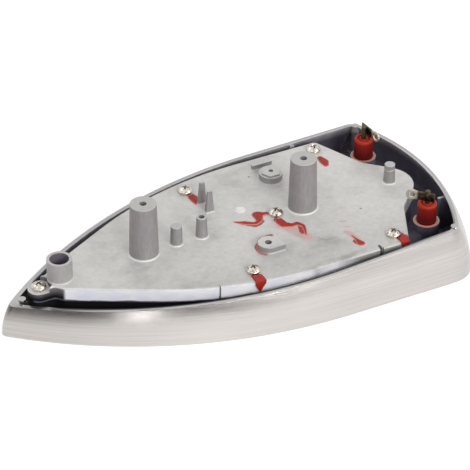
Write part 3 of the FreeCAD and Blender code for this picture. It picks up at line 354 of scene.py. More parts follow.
class SoleplateLooks(bpy.types.PropertyGroup):
    """Colours and small sizes of the soleplate's looks."""

    skirt_colour: bpy.props.FloatVectorProperty(
        name="Skirt", description="Brushed outside of the skirt", subtype="COLOR",
        default=screen(208, 203, 199))
    rim_colour: bpy.props.FloatVectorProperty(
        name="Rim", description="Machined rim and bosses", subtype="COLOR",
        default=screen(186, 184, 183))
    # painted light on the inner wall just below the rim
    lit_lip_colour: bpy.props.FloatVectorProperty(
        name="Lip", description="Inner wall just below the rim", subtype="COLOR",
        default=screen(206, 203, 206))
    wall_colour: bpy.props.FloatVectorProperty(
        name="Inner wall", description="Inner wall of the skirt", subtype="COLOR",
        default=screen(166, 162, 170))
    cavity_colour: bpy.props.FloatVectorProperty(
        name="Cavity", description="Dark inside of the casting", subtype="COLOR",
        default=screen(104, 100, 114))
    cover_colour: bpy.props.FloatVectorProperty(
        name="Cover", description="Blasted top of the cover", subtype="COLOR",
        default=screen(214, 212, 209))
    # also the painted shade of the flanks
    smudge_and_shade_colour: bpy.props.FloatVectorProperty(
        name="Smudges", description="Darker clouds on the cover", subtype="COLOR",
        default=screen(180, 178, 176))
    # painted light on the front flank
    lit_flank_colour: bpy.props.FloatVectorProperty(
        name="Cover flank", description="Glossy flank of the cover", subtype="COLOR",
        default=screen(253, 252, 255))
    # darker than the cover, as painted shade on the sides
    post_colour: bpy.props.FloatVectorProperty(
        name="Posts", description="Sides of posts and pegs", subtype="COLOR",
        default=screen(153, 149, 150))
    silicone_colour: bpy.props.FloatVectorProperty(
        name="Sealant", description="Thick sealant", subtype="COLOR", default=screen(166, 34, 24))
    film_colour: bpy.props.FloatVectorProperty(
        name="Sealant film", description="Sealant where it thins out", subtype="COLOR",
        default=screen(214, 140, 128))
    cap_colour: bpy.props.FloatVectorProperty(
        name="Caps", description="Silicone caps", subtype="COLOR", default=screen(158, 16, 8))
    # painted light on the top rims of the caps
    lit_cap_top_colour: bpy.props.FloatVectorProperty(
        name="Cap rims", description="Top rims of the caps", subtype="COLOR",
        default=screen(216, 56, 28))
    nickel_colour: bpy.props.FloatVectorProperty(
        name="Screws", description="Nickel of the screws", subtype="COLOR",
        default=screen(212, 204, 194))
    tab_colour: bpy.props.FloatVectorProperty(
        name="Tabs", description="Terminal tabs", subtype="COLOR", default=screen(206, 198, 178))
    brush_depth: bpy.props.FloatProperty(
        name="Brushing", description="Depth of the brushed lines", subtype="DISTANCE",
        default=0.022 * MM)
    crown: bpy.props.FloatProperty(
        name="Sealant crown", description="Height of thick sealant", subtype="DISTANCE",
        default=0.75 * MM)
    crown_run: bpy.props.FloatProperty(
        name="Sealant edge", description="Run from a smear's edge to its crown", subtype="DISTANCE",
        default=0.8 * MM)
    recess_span: bpy.props.FloatProperty(
        name="Recess span", description="Cross recess of the screws", subtype="DISTANCE",
        default=3.8 * MM)
    recess_width: bpy.props.FloatProperty(
        name="Recess width", description="Slots of the cross recess", subtype="DISTANCE",
        default=0.9 * MM)
    recess_depth: bpy.props.FloatProperty(
        name="Recess depth", description="Depth of the cross recess", subtype="DISTANCE",
        default=1.7 * MM)
    tail: bpy.props.FloatProperty(
        name="Tab tail", description="Reach of the tabs behind their pins", subtype="DISTANCE",
        default=3.4 * MM)
    ambient: bpy.props.FloatProperty(
        name="Ambient", description="Light from all round", default=0.42, min=0, max=1)
    dusk: bpy.props.FloatProperty(
        name="Dark side", description="How far the room behind the camera dims in reflections",
        default=0.94, min=0, max=1)


class SOLEPLATE_OT_casting(bpy.types.Operator):
    """Brushed skirt, dark cavity, bright rim and polished sole of the casting, and its heel rib."""

    bl_idname = "soleplate.casting"
    bl_label = "Casting"

    def execute(self, context):
        looks = context.scene.soleplate_looks
        finish = Finish("cast_skirt_finish")
        x, y, z, up = finish.x, finish.y, finish.z, finish.up

        # depth below the skirt's outer face: bowed side and heel, rounded corner, lean with height
        ahead = (x - SHOULDER_X).least(0)
        flank = SIDE_RADIUS - (ahead ** 2 + (abs(y) + (SIDE_RADIUS - HALF_WIDTH)) ** 2).root()
        heel = HEEL_RADIUS - ((x - HEEL_X) ** 2 + y ** 2).root()
        corner = ((CORNER_RADIUS - flank).most(0) ** 2 + (CORNER_RADIUS - heel).most(0) ** 2).root()
        lean = LEAN_RADIUS - (LEAN_RADIUS ** 2 - z ** 2).root()
        depth = CORNER_RADIUS - corner - lean

        # what is machined bright, from the height below the rim and the way the surface faces
        drop = RIM_MIDDLE + RIM_SLOPE * x - z
        level = up.rise(0.85, 0.97)
        outside = depth.rise(0.9, 0.5)
        # painted shade: the rim at the nose's near side is painted mostly in the darker inside
        # colour
        nose = x.rise(-66, -92) * y.rise(2, -6)
        rim = level * drop.rise(0.6, 0.2) * depth.rise(1.7, 1.1) * (1 - 0.6 * nose)
        boss = level * z.rise(BOSS_TOP - 0.1, BOSS_TOP + 0.1) * depth.rise(6, 8)
        sole = up.rise(-0.9, -0.98) * z.rise(0.4, 0.1)
        pegs = finish.near(NOSE_PEG, PEG_RADIUS, PEG_RADIUS + 0.4) * z.rise(13, 15)
        for spot in HEEL_PEGS:
            pegs = pegs.most(finish.near(spot, PEG_RADIUS, PEG_RADIUS + 0.4) * z.rise(21.5, 23.5))
        # painted highlight: the cast rib's top takes the bright machined colour
        rib = level * z.rise(RIB_TOP - 1.5, RIB_TOP - 0.5) * finish.near((RIB_X, RIB_Y), 3.0, 3.4)
        bright = rim.most(boss).most(pegs).most(rib)

        streak = finish.grain(0.9, (90, 90, 1), detail=4, rough=0.6)
        line = finish.grain(0.4, (140, 140, 1), detail=3, shift=1.7)
        hair = finish.grain(0.12, (220, 220, 1), detail=2)
        cloud = finish.grain(26, (1.6, 1.6, 1), detail=3)
        cast = finish.grain(5, (1, 1, 2.5), detail=5, rough=0.65)
        pits = finish.grain(0.7, detail=3)
        lap = finish.grain(0.25, (160, 1, 1), detail=3)

        # brushed skirt, with painted shade and a painted dark reflection; inside, painted light and
        # shade
        streaks_and_painted_shade = 0.47 + 0.3 * streak + 0.26 * line + 0.12 * cloud
        # painted shade along the skirt: darker at the front tip, a little past the middle, and at
        # the heel
        streaks_and_painted_shade = streaks_and_painted_shade + 0.22 * x.rise(-105, -30) - 0.08 * x.rise(-20, 50) - 0.2 * x.rise(84, 112)
        # painted dark reflection under the rim, strongest towards the front tip
        painted_dark_reflection = (0.1 + 0.56 * x.rise(-25, -92)) * drop.rise(9, -0.5)
        # the brushed tone also carries the painted shade and the painted dark reflection
        brushed = finish.tone(tuple(looks.skirt_colour), streaks_and_painted_shade * (1 - painted_dark_reflection))
        # inner wall painted lighter just below the rim and darker deeper down: painted light and
        # shade
        wall = finish.mix(drop.rise(3.4, 0.6), tuple(looks.wall_colour), tuple(looks.lit_lip_colour))
        wall = finish.mix(drop.rise(3.0, 7.5), wall, tuple(looks.cavity_colour))
        inside = finish.mix(depth.rise(3.2, 4.6), wall, tuple(looks.cavity_colour))
        # painted shadow: darkest on the near side of the channel, less so in the heel's near corner
        shade = 0.03 + 0.97 * y.rise(0, 16).most(x.rise(56, 80) * (0.4 + 0.6 * y.rise(-46, -18)))
        inside = finish.tone(inside, (0.62 + 0.76 * cast) * shade)
        machined = finish.tone(tuple(looks.rim_colour), 0.85 + 0.3 * pits)
        polished = finish.tone(tuple(looks.rim_colour), 0.8 + 0.25 * lap + 0.12 * cloud)
        colour = finish.mix(outside, inside, brushed)
        colour = finish.mix(bright, colour, machined)
        colour = finish.mix(sole, colour, polished)

        worked = outside.most(sole)
        rough = 0.55 - 0.36 * worked + 0.06 * streak * worked
        rough = rough + 0.12 * cast * (1 - worked) - 0.16 * bright
        lines = finish.bumps(hair * outside + 0.4 * lap * sole, looks.brush_depth / MM)
        relief = finish.bumps(cast * (1 - worked) + 0.3 * pits * (1 - worked), 0.25, lines)
        finish.surface(Base_Color=colour, Roughness=rough,
                       Metallic=0.2 + 0.75 * worked.most(0.5 * bright), Normal=relief)
        dress("soleplate", finish)
        self.rib(finish)
        return {"FINISHED"}

    def rib(self, finish):
        """Thin rib on the inside of the heel; its foot reaches out along the leaning wall."""
        plate = bmesh.new()
        bmesh.ops.create_cube(plate, size=2)
        for vert in plate.verts:
            outer, side, high = vert.co.x > 0, vert.co.y, vert.co.z > 0
            reach = (RIB_REACH_TOP if high else RIB_REACH_FOOT)[outer]
            half = RIB_HALF_TOP if high else RIB_HALF_FOOT
            vert.co = Vector((reach, RIB_Y + side * half, RIB_TOP if high else RIB_FOOT)) * MM
        rounded(plate, plate.edges[:], RIB_BEVEL)
        settle(plate, "heel_rib", [], finish)


class SOLEPLATE_OT_cover(bpy.types.Operator):
    """Blasted die casting of the cover, with stains, films of sealant, a glossier flank, and
    painted light and shade.
    """

    bl_idname = "soleplate.cover"
    bl_label = "Cover"

    def execute(self, context):
        looks = context.scene.soleplate_looks
        finish = Finish("cast_cover_finish")
        x, y, z, up = finish.x, finish.y, finish.z, finish.up
        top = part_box("chamber_cover")[1].z / MM - POST_HEIGHT
        foot = top - FLANK_HEIGHT

        # sides and tops of what stands on the cover, the cover's own flank, and the fillets at
        # feet, which get a painted highlight
        upright = abs(up).rise(0.75, 0.35)
        # the inlet's sides take less of the painted shade
        standing = upright * z.rise(top + 0.1, top + 1.2) * (1 - 0.3 * finish.near(INLET, 8, 9))
        crest = (1 - upright) * z.rise(top + 6, top + 8)
        flank = upright * z.rise(top - 0.2, top - 1.0)
        front = flank * finish.across.rise(-0.5, -0.75) * x.rise(48, 30)
        painted_fillet_highlight = z.rise(top + 1.3, top + 0.6) * z.rise(top - 0.1, top + 0.1)
        painted_fillet_highlight = abs(up).rise(0.98, 0.9) * painted_fillet_highlight

        cloud = finish.grain(24, detail=4, rough=0.55)
        stain = finish.grain(9, (1.8, 1, 1), detail=5, rough=0.6, shift=3.1)
        mottle = finish.grain(2.6, detail=4, rough=0.6, shift=7.7)
        blast = finish.grain(0.5, detail=3, rough=0.6)
        drawn = finish.grain(1.1, (1, 1, 5), detail=4, rough=0.6, shift=2.4)
        sheen = finish.grain(14, (1, 1, 0.5), detail=4, shift=5.5)
        ragged = finish.grain(1.7, detail=5, rough=0.65, shift=9.1)

        # clouded top with painted light and shade, pale ejector mark, painted highlight on the
        # fillets, darker tops of the posts, drawn sides painted darker as shade
        dusk = cloud.rise(0.5, 0.72) * 0.35 + stain.rise(0.52, 0.74) * 0.35
        for spot, reach in SMUDGES:
            dusk = dusk + 0.4 * finish.near(spot, 1, reach) * stain.rise(0.35, 0.6)
        colour = finish.mix(dusk.least(1), tuple(looks.cover_colour), tuple(looks.smudge_and_shade_colour))
        # painted light towards the heel and painted shade towards the near side
        painted_light_and_shade = 0.07 * x.rise(30, 80) - 0.13 * y.rise(-12, -40)
        colour = finish.tone(colour, 0.72 + 0.34 * mottle + 0.26 * blast + painted_light_and_shade)
        ejector = finish.near(EJECTOR_MARK, EJECTOR_RADIUS, EJECTOR_RADIUS + 0.5)
        colour = finish.mix(ejector * (1 - upright), colour, screen(240, 240, 238))
        # painted highlight on the fillets at the feet of the posts
        colour = finish.mix(painted_fillet_highlight * 0.7, colour, screen(232, 232, 230))
        colour = finish.mix(0.6 * crest, colour, tuple(looks.smudge_and_shade_colour))
        # painted shade: sides of posts, pegs and other standing parts darker than the tops, with
        # drawn streaks
        post = finish.tone(tuple(looks.post_colour), 0.58 + 0.5 * drawn + 0.34 * stain)
        colour = finish.mix(standing, colour, post)

        # front flank painted light, other flanks painted shade, painted shade on the lug, painted
        # light at the heel end, painted shade in the bore, darker flank foot
        # painted shade: the flanks darker than the top
        edge = finish.tone(tuple(looks.smudge_and_shade_colour), 0.8 + 0.4 * drawn)
        colour = finish.mix(flank, colour, edge)
        # painted light: the front flank near white
        painted_flank_light = finish.mix(sheen.rise(0.35, 0.65), screen(236, 236, 248), tuple(looks.lit_flank_colour))
        lug = x.rise(LUG_X + 0.8, LUG_X - 0.8)
        colour = finish.mix(front * (1 - lug), colour, painted_flank_light)
        shaded = finish.tone(screen(122, 119, 124), z.rise(foot + 1, top))
        colour = finish.mix(flank * lug, colour, shaded)
        # painted light on the flank at the heel end
        colour = finish.mix(flank * x.rise(60, 72), colour, screen(226, 225, 226))
        # painted shade inside the inlet's bore
        bore = finish.near(INLET, INLET_BORE + 0.05, INLET_BORE + 0.2)
        bore = bore * z.rise(top + 10.4, top + 9.8)
        colour = finish.mix(bore, colour, screen(132, 124, 138))
        # darker along the foot of the front flank, with a ragged edge
        dark_flank_foot = front * (z + 2.4 * (0.5 - sheen)).rise(foot + 0.9, foot + 0.4)
        colour = finish.mix(dark_flank_foot, colour, tuple(looks.cavity_colour))

        # dark slit, scuffs, a hairline scratch and specks
        slit = finish.beside(*SLIT).rise(0.9, 0.5)
        colour = finish.mix(0.9 * slit * z.rise(top + 1, top + 0.5), colour, screen(44, 41, 46))
        scuff = finish.beside(*SCUFF).rise(3.4, 0.6) * stain.rise(0.42, 0.66)
        colour = finish.mix(0.5 * scuff * (1 - standing), colour, screen(118, 115, 114))
        hairline = finish.beside(*HAIRLINE).rise(0.5, 0.1)
        specks = finish.near(SPECKS[0], 0.4, 0.8).most(finish.near(SPECKS[1], 0.4, 0.8))
        scratched = (0.45 * hairline * stain + 0.6 * specks) * (1 - upright)
        colour = finish.mix(scratched, colour, screen(96, 90, 86))

        # films of sealant: thin pink ones, then red ones whose edges the noise eats into
        eaten = ragged - 0.5
        thin = (finish.beside(*WIDE_FILM) + 3 * eaten).rise(4.4, 1.2)
        thin = thin.most((finish.beside(*SMALL_FILM) + 4 * eaten).rise(2.4, 0.8))
        for dash, reach in zip(DASHES, (0.7, 0.6)):
            thin = thin.most(finish.beside(*dash).rise(reach, 0.3))
        red = finish.beside(*LEFT_SMEAR).least(finish.beside(*RIGHT_SMEAR))
        red = red.least(finish.beside(*SMALL_SMEAR)).least(finish.beside(*SCREW_SMEAR) - 1.4)
        red = (red + 2.2 * eaten).rise(1.7, 1.0)
        beyond, aside = x - PAD[0], y - PAD[1]
        ring = abs((beyond ** 2 + aside ** 2).root() - PAD_RING - eaten).rise(1.0, 0.5)
        ring = ring * (0.77 * beyond - 0.64 * aside).rise(1.6, 0.2) * stain.rise(0.3, 0.5)
        lying = 1 - standing
        colour = finish.mix(0.45 * thin * lying, colour, tuple(looks.film_colour))
        colour = finish.mix(0.95 * ring * lying, colour, screen(150, 54, 42))
        streaked = finish.tone(tuple(looks.silicone_colour), 0.6 + 0.7 * ragged)
        colour = finish.mix(0.92 * red * lying, colour, streaked)

        wet = red.most(ring) * lying
        rough = 0.5 + 0.16 * mottle - 0.2 * front - 0.1 * wet
        relief = finish.bumps(blast + 0.6 * mottle + 0.8 * drawn * standing, 0.08)
        finish.surface(Base_Color=colour, Roughness=rough, Metallic=0.35 * (1 - wet.most(front)),
                       Normal=relief)
        dress("chamber_cover", finish)
        return {"FINISHED"}


class SOLEPLATE_OT_inner(bpy.types.Operator):
    """Heater, sealant bed, ceramic beads and terminal pins."""

    bl_idname = "soleplate.inner"
    bl_label = "Inner pieces"

    def execute(self, context):
        looks = context.scene.soleplate_looks
        sheath = Finish("heater_sheath_finish")
        scale = sheath.grain(1.6, detail=5)
        heat = sheath.mix(scale, screen(96, 88, 84), screen(150, 142, 134))
        sheath.surface(Base_Color=heat, Roughness=0.3 + 0.3 * scale, Metallic=0.9,
                       Normal=sheath.bumps(scale, 0.05))
        dress("heating_element", sheath)

        bed = Finish("silicone_bed_finish")
        ripple = bed.grain(1.2, detail=4)
        bed.surface(Base_Color=bed.tone(tuple(looks.silicone_colour), 0.7 + 0.5 * ripple),
                    Roughness=0.35 + 0.2 * ripple, Normal=bed.bumps(ripple, 0.1))
        dress("chamber_gasket", bed)

        bead = Finish("bead_ceramic_finish")
        speck = bead.grain(0.5, detail=4)
        glaze = bead.mix(speck.rise(0.6, 0.75), screen(232, 226, 212), screen(190, 178, 158))
        bead.surface(Base_Color=glaze, Roughness=0.4 + 0.2 * speck, Normal=bead.bumps(speck, 0.03))
        pin = Finish("pin_steel_finish")
        draw = pin.grain(0.2, (1, 1, 30), detail=3)
        tint = pin.grain(1.4, detail=3, shift=2.2)
        steel = pin.mix(tint, screen(66, 60, 46), screen(120, 112, 90))
        pin.surface(Base_Color=pin.tone(steel, 0.7 + 0.5 * draw), Roughness=0.28 + 0.2 * draw,
                    Metallic=0.95, Normal=pin.bumps(draw, 0.02))
        for hand in HANDS:
            dress("terminal_bead_" + hand, bead)
            dress("terminal_pin_" + hand, pin)
        return {"FINISHED"}


class SOLEPLATE_OT_screws(bpy.types.Operator):
    """Six nickel pan-head screws with a domed head, a tapered cross recess and a plain shank."""

    bl_idname = "soleplate.screws"
    bl_label = "Screws"

    def execute(self, context):
        looks = context.scene.soleplate_looks
        finish = Finish("screw_nickel_finish")
        haze = finish.grain(0.8, detail=4)
        swirl = finish.grain(0.25, (1, 1, 8), detail=2)
        recess_shade = finish.node("Attribute", {"attribute_name": "recess"}, {}, "Fac")
        reflection_flecks = finish.grain(1.3, detail=4, shift=6.3).rise(0.56, 0.68)
        plated = finish.tone(tuple(looks.nickel_colour), 0.8 + 0.35 * haze)
        # painted shade in the recess, and dark spots as painted reflections
        colour = finish.mix(recess_shade.most(0.85 * reflection_flecks), plated, screen(70, 50, 38))
        finish.surface(Base_Color=colour, Roughness=0.14 + 0.14 * haze + 0.25 * recess_shade, Metallic=1.0,
                       Normal=finish.bumps(swirl, 0.01))

        # one screw, its seat at height 0
        head, edge, tall, shank, length, lip = 3.4, 1.4, 3.2, 2.0, 14.0, 0.45
        crown = ((tall - edge) ** 2 + head ** 2) / (2 * (tall - edge))
        sweep = math.degrees(math.asin((head - lip) / crown))
        profile = [(0, -length), (shank * 0.75, -length), (shank, -length + shank / 4)]
        profile += [(shank, -0.6), (shank, 0), (head - 0.15, 0)]
        profile += arc((head - lip, edge - lip + 0.25), lip, 0, 68, 4)
        profile += arc((0, tall - crown), crown, 90 - sweep * 0.93, 90, 8)
        blank = object_of(turned(profile, 48), "screw_blank")

        # cross recess, narrower at its bottom
        narrowing, clear = 0.45, 0.3
        cross = bmesh.new()
        bmesh.ops.create_cube(cross, size=looks.recess_width)
        sides = [face for face in cross.faces if abs(face.normal.z) < 0.5]
        arms = bmesh.ops.extrude_discrete_faces(cross, faces=sides)["faces"]
        reach = (looks.recess_span - looks.recess_width) / 2
        for face in arms:
            bmesh.ops.translate(cross, verts=face.verts, vec=face.normal * reach)
        for vert in cross.verts:
            low = vert.co.z < 0
            if low:
                vert.co.x *= narrowing
                vert.co.y *= narrowing
            vert.co.z = tall * MM - looks.recess_depth if low else (tall + clear) * MM
        bmesh.ops.remove_doubles(cross, verts=cross.verts, dist=WELD)
        bmesh.ops.recalc_face_normals(cross, faces=cross.faces)
        cutter = object_of(cross, "recess_cutter")
        cut = blank.modifiers.new("recess", "BOOLEAN")
        cut.operation = "DIFFERENCE"
        cut.solver = "EXACT"
        cut.object = cutter
        one = applied(blank)
        bpy.data.objects.remove(cutter)

        # the cut leaves slivers: without them the mesh is closed
        sliver = 0.01 * MM
        bmesh.ops.remove_doubles(one, verts=one.verts, dist=sliver)
        bmesh.ops.dissolve_degenerate(one, edges=one.edges, dist=sliver)

        # how deep in the recess each vertex lies, for the painted shade there
        layer = one.verts.layers.float.new("recess")
        for vert in one.verts:
            radius = math.hypot(vert.co.x, vert.co.y)
            dome = (tall - crown) * MM + math.sqrt(max((crown * MM) ** 2 - radius ** 2, 0))
            sunk = min(max((dome - vert.co.z) / looks.recess_depth - 0.15, 0), 1)
            vert[layer] = sunk if radius < looks.recess_span / 2 else 0
        mesh = bpy.data.meshes.new("screw")
        one.to_mesh(mesh)
        one.free()

        # a copy on the seat of each CAD screw, each turned differently
        first_turn, next_turn = 20, 37
        old = merged("cover_screws")
        group = bmesh.new()
        parts = sorted(islands(old), key=lambda part: min(v.co.x for v in part))
        for index, verts in enumerate(parts):
            low = Vector([min(v.co[axis] for v in verts) for axis in range(3)])
            high = Vector([max(v.co[axis] for v in verts) for axis in range(3)])
            seat = Vector(((low.x + high.x) / 2, (low.y + high.y) / 2, low.z + length * MM))
            first = len(group.verts)
            group.from_mesh(mesh)
            group.verts.ensure_lookup_table()
            fresh = group.verts[first:]
            turn = Matrix.Rotation(math.radians(first_turn + next_turn * index), 4, "Z")
            bmesh.ops.transform(group, matrix=Matrix.Translation(seat) @ turn, verts=fresh)
        old.free()
        settle(group, "pan_head_screws", ["cover_screws"], finish)
        return {"FINISHED"}


class SOLEPLATE_OT_sealant(bpy.types.Operator):
    """Smears, drips and films of red silicone, crowned and thin at their edges."""

    bl_idname = "soleplate.sealant"
    bl_label = "Sealant"

    def execute(self, context):
        looks = context.scene.soleplate_looks
        finish = Finish("silicone_smear_finish")
        thick = finish.node("Attribute", {"attribute_name": "thick"}, {}, "Fac")
        drag = finish.grain(1.1, detail=5, rough=0.7)
        skin = finish.grain(0.35, detail=3, shift=5)
        body = (thick + 0.5 * (drag - 0.5)).rise(0.1, 0.55)
        colour = finish.mix(body, tuple(looks.film_colour), tuple(looks.silicone_colour))
        colour = finish.tone(colour, 0.55 + 0.75 * drag)
        finish.surface(Base_Color=colour, Roughness=0.3 + 0.3 * skin,
                       Normal=finish.bumps(drag + 0.4 * skin, 0.12))

        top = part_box("chamber_cover")[1].z - POST_HEIGHT * MM
        rough = object_of(merged("sealant_smears"), "sealant_stock")
        voxels = rough.modifiers.new("voxels", "REMESH")
        voxels.mode = "VOXEL"
        voxels.voxel_size = 0.17 * MM
        voxels.adaptivity = 0
        ease = rough.modifiers.new("ease", "SMOOTH")
        ease.factor = 0.5
        ease.iterations = 3
        shape = applied(rough)

        # smears on the cover swell from a thin edge; drips keep their form; low ones count as films
        lying, below, steep = top - 0.2 * MM, top - 1 * MM, 0.55
        thin_edge, waviness, wave_scale, low_film = 0.06 * MM, 0.35, 900, 0.12
        layer = shape.verts.layers.float.new("thick")
        shape.normal_update()
        for group in islands(shape):
            low = min(vert.co.z for vert in group)
            high = max(vert.co.z for vert in group)
            flat = low > lying
            edge = [vert.co for vert in group if abs(vert.normal.z) < steep]
            tree = kdtree.KDTree(len(edge))
            for index, co in enumerate(edge):
                tree.insert((co.x, co.y, 0), index)
            tree.balance()
            for vert in group:
                away = tree.find((vert.co.x, vert.co.y, 0))[2]
                swell = 1 - math.exp(-away / looks.crown_run)
                vert[layer] = swell if flat else 1.0
                if flat:
                    wave = 1 + waviness * noise.noise(vert.co * wave_scale)
                    tall = thin_edge + looks.crown * swell * wave
                    vert.co.z = low + (vert.co.z - low) / (high - low) * tall
                elif high < below:
                    vert[layer] = low_film
        settle(shape, "sealant_blobs", ["sealant_smears"], finish, crease=80)
        return {"FINISHED"}


class SOLEPLATE_OT_terminals(bpy.types.Operator):
    """Soft silicone caps and bevelled nickel tabs on the heater's ends."""

    bl_idname = "soleplate.terminals"
    bl_label = "Terminals"

    def execute(self, context):
        looks = context.scene.soleplate_looks
        rubber = Finish("silicone_cap_finish")
        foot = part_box("terminal_seal_left")[0].z / MM
        bloom = rubber.grain(2.4, (1, 1, 2), detail=4)
        skin = rubber.grain(0.5, detail=3)
        # painted light: the caps' top rims lighter
        rim = rubber.z.rise(foot + 8.2, foot + 9.8)
        colour = rubber.mix(rim, tuple(looks.cap_colour), tuple(looks.lit_cap_top_colour))
        # painted shade: the caps darker towards the foot
        shade = 0.45 + 0.5 * rubber.z.rise(foot, foot + 9)
        colour = rubber.tone(colour, (0.4 + 0.4 * bloom) * shade)
        rubber.surface(Base_Color=colour, Roughness=0.45 + 0.2 * skin,
                       Normal=rubber.bumps(skin + bloom, 0.08), Specular_IOR_Level=0.35)

        # cap: hollow foot over the bead, rounded top, a well round the pin's collar
        tall, skirt, lip, well, collar, pin, hollow, deep = 10.4, 4.8, 1.1, 3.0, 2.2, 1.2, 3.5, 4.9
        profile = [(hollow, deep), (hollow, 0), (skirt - 0.1, 0), (skirt, 0.25), (skirt - 0.1, 4.5)]
        profile += [(skirt - 0.12, tall - lip)]
        profile += arc((skirt - 0.12 - lip, tall - lip), lip, 12, 90, 7)
        profile += [(well + 0.12, tall), (well, tall - 0.12)]
        profile += [(well - 0.1, tall - 1.0), (well - 0.7, tall - 1.05)]
        profile += [(collar, tall - 0.15), (collar - 0.12, tall)]
        profile += [(pin + 0.1, tall), (pin, tall - 0.1), (pin, deep), (hollow, deep)]
        dent, dent_scale = 0.025, 420
        flat, sharp, bevel, ring_radius = math.radians(3), math.radians(40), 0.14, 2.6 * MM
        for hand in HANDS:
            low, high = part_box("terminal_seal_" + hand)
            cap = turned(profile, 56)
            for vert in cap.verts:
                radius = math.hypot(vert.co.x, vert.co.y)
                if radius > (hollow + 0.1) * MM:
                    wave = noise.noise(vert.co * dent_scale + low / MM)
                    vert.co.x -= vert.co.x * dent * (wave + 1) / 2
                    vert.co.y -= vert.co.y * dent * (wave + 1) / 2
            place = Vector(((low.x + high.x) / 2, (low.y + high.y) / 2, low.z))
            bmesh.ops.translate(cap, verts=cap.verts, vec=place)
            settle(cap, "silicone_cap_" + hand, ["terminal_seal_" + hand], rubber,
                   crease=50)

            # tab: shorter tail, bevelled edges; its ring is the end that lies further from the pin
            tab = merged("terminal_tab_" + hand)
            bmesh.ops.dissolve_limit(tab, angle_limit=flat, verts=tab.verts, edges=tab.edges)
            ways = [Vector((vert.co.x, vert.co.y, low.z)) - place for vert in tab.verts]
            far = max(ways, key=lambda way: way.length)
            toward = far.normalized()
            for vert in tab.verts:
                spare = -toward.dot(vert.co - place) - looks.tail
                if spare > 0:
                    vert.co += toward * spare
            ring = place + toward * (far.length - ring_radius)
            metal = self.strip(looks, "tab_nickel_" + hand, ring / MM)
            rounded(tab, [edge for edge in tab.edges if edge.calc_face_angle(0) > sharp], bevel)
            settle(tab, "nickel_tab_" + hand, ["terminal_tab_" + hand], metal)
        return {"FINISHED"}

    def strip(self, looks, name, ring):
        """Bright ring on a darker strip."""
        metal = Finish(name)
        roll = metal.grain(0.2, (1, 1, 25), detail=2)
        blotches = metal.grain(1.8, detail=5, shift=4)
        darker_strip = metal.mix(blotches.rise(0.4, 0.7), screen(58, 46, 38), screen(112, 96, 74))
        plate = metal.mix(metal.near(ring, 2.4, 3.6), darker_strip, tuple(looks.tab_colour))
        return metal.surface(Base_Color=metal.tone(plate, 0.8 + 0.35 * roll), Metallic=0.95,
                             Roughness=0.2 + 0.25 * blotches, Normal=metal.bumps(roll, 0.01))


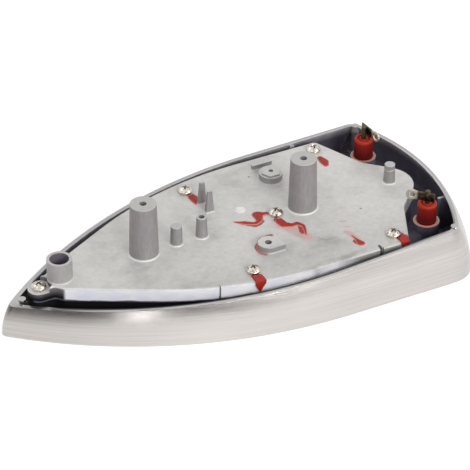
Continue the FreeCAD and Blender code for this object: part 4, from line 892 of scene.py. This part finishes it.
class SOLEPLATE_OT_stage(bpy.types.Operator):
    """White floor and surroundings, soft lamps and the camera."""

    bl_idname = "soleplate.stage"
    bl_label = "Stage"

    def execute(self, context):
        scene = context.scene
        looks = scene.soleplate_looks
        scene.view_settings.view_transform = "Standard"

        # white to the camera, with a dark side in reflections, and a dimmer light from all round
        world = bpy.data.worlds.new("white_surround")
        world.use_nodes = True
        scene.world = world
        sky = Graph(world.node_tree)
        shade = math.radians(DARK_TURN)
        x, y, z = sky.node("TexCoord", {}, {}, "Generated").parts()
        dim = (x * math.sin(shade) - y * math.cos(shade)).rise(0.35, 0.8) * z.rise(-0.05, 0.05)
        straight = sky.node("LightPath", {}, {}, "Is Camera Ray")
        mirrored = sky.node("LightPath", {}, {}, "Is Glossy Ray")
        mirrored = mirrored.most(sky.node("LightPath", {}, {}, "Is Transmission Ray"))
        scattered = 1 - straight.most(mirrored)
        strength = straight + mirrored * (1 - looks.dusk * dim) + scattered * looks.ambient
        light = sky.node("Background", {}, {"Color": (1, 1, 1, 1), "Strength": strength})
        sky.node("OutputWorld", {}, {0: light})

        # floor that glows for the camera and in reflections, so that it meets the white behind it
        paint = bpy.data.materials.new("pale_floor")
        paint.use_nodes = True
        pale = Graph(paint.node_tree)
        seen = pale.node("LightPath", {}, {}, "Is Camera Ray")
        seen = seen + pale.node("LightPath", {}, {}, "Is Glossy Ray")
        strength = FLOOR_GLOW * seen.least(1)
        glow = pale.node("Emission", {}, {"Color": (1, 1, 1, 1), "Strength": strength})
        paper = pale.node("BsdfDiffuse", {}, {"Color": (FLOOR_GREY, FLOOR_GREY, FLOOR_GREY, 1)})
        pale.node("OutputMaterial", {}, {0: pale.node("AddShader", {}, {0: glow, 1: paper})})
        sheet = bmesh.new()
        bmesh.ops.create_grid(sheet, x_segments=1, y_segments=1, size=FLOOR_SIZE)
        bmesh.ops.translate(sheet, verts=sheet.verts, vec=(0, 0, -FLOOR_DROP))
        floor = object_of(sheet, "floor")
        floor.data.materials.append(paint)

        for lamp in LAMPS:
            self.lamp(*lamp)
        self.camera(scene)
        return {"FINISHED"}

    def camera(self, scene):
        """Camera that stands where the photo was taken."""
        azimuth, height, roll = (math.radians(turn) for turn in (AZIMUTH, ELEVATION, ROLL))
        eye = bpy.data.cameras.new("camera")
        eye.sensor_width = SENSOR_WIDTH
        eye.lens = FOCAL_PX * SENSOR_WIDTH / FRAME_PX
        eye.shift_x = SHIFT_PX[0] / FRAME_PX
        eye.shift_y = SHIFT_PX[1] / FRAME_PX
        eye.clip_start = 0.05
        eye.clip_end = 30
        camera = bpy.data.objects.new("camera", eye)
        scene.collection.objects.link(camera)
        level = Vector((math.sin(azimuth), -math.cos(azimuth), 0))
        back = level * math.cos(height) + Vector((0, 0, math.sin(height)))
        right = Vector((math.cos(azimuth), math.sin(azimuth), 0))
        up = back.cross(right)
        tilted = right * math.cos(roll) + up * math.sin(roll)
        up = up * math.cos(roll) - right * math.sin(roll)
        place = Vector((TARGET_X * MM, 0, 0)) + back * DISTANCE * MM
        axes = Matrix((tilted, up, back)).transposed()
        camera.matrix_world = Matrix.Translation(place) @ axes.to_4x4()
        scene.camera = camera

    def lamp(self, name, place, width, tall, power):
        """Soft box that looks at the object's middle."""
        light = bpy.data.lights.new(name, "AREA")
        light.shape = "RECTANGLE"
        light.size = width
        light.size_y = tall
        light.energy = power
        box = bpy.data.objects.new(name, light)
        bpy.context.scene.collection.objects.link(box)
        box.location = place
        aim = Vector(LAMP_AIM) - Vector(place)
        box.rotation_euler = aim.to_track_quat("-Z", "Y").to_euler()


OPERATORS = [
    SOLEPLATE_OT_casting,
    SOLEPLATE_OT_cover,
    SOLEPLATE_OT_inner,
    SOLEPLATE_OT_screws,
    SOLEPLATE_OT_sealant,
    SOLEPLATE_OT_terminals,
    SOLEPLATE_OT_stage,
]


class SOLEPLATE_PT_panel(bpy.types.Panel):
    """Lists the soleplate's pieces and their looks."""

    bl_idname = "SOLEPLATE_PT_panel"
    bl_label = "Soleplate"
    bl_space_type = "VIEW_3D"
    bl_region_type = "UI"
    bl_category = "Soleplate"

    def draw(self, context):
        looks = context.scene.soleplate_looks
        for name in looks.bl_rna.properties.keys():
            if name not in ("rna_type", "name"):
                self.layout.prop(looks, name)
        for kind in OPERATORS:
            self.layout.operator(kind.bl_idname)


CLASSES = [SoleplateLooks] + OPERATORS + [SOLEPLATE_PT_panel]


def register():
    for kind in CLASSES:
        bpy.utils.register_class(kind)
    bpy.types.Scene.soleplate_looks = bpy.props.PointerProperty(type=SoleplateLooks)


def unregister():
    del bpy.types.Scene.soleplate_looks
    for kind in reversed(CLASSES):
        bpy.utils.unregister_class(kind)


def main():
    register()
    bpy.ops.soleplate.casting()
    bpy.ops.soleplate.cover()
    bpy.ops.soleplate.inner()
    bpy.ops.soleplate.screws()
    bpy.ops.soleplate.sealant()
    bpy.ops.soleplate.terminals()
    bpy.ops.soleplate.stage()


if __name__ == "__main__":
    main()
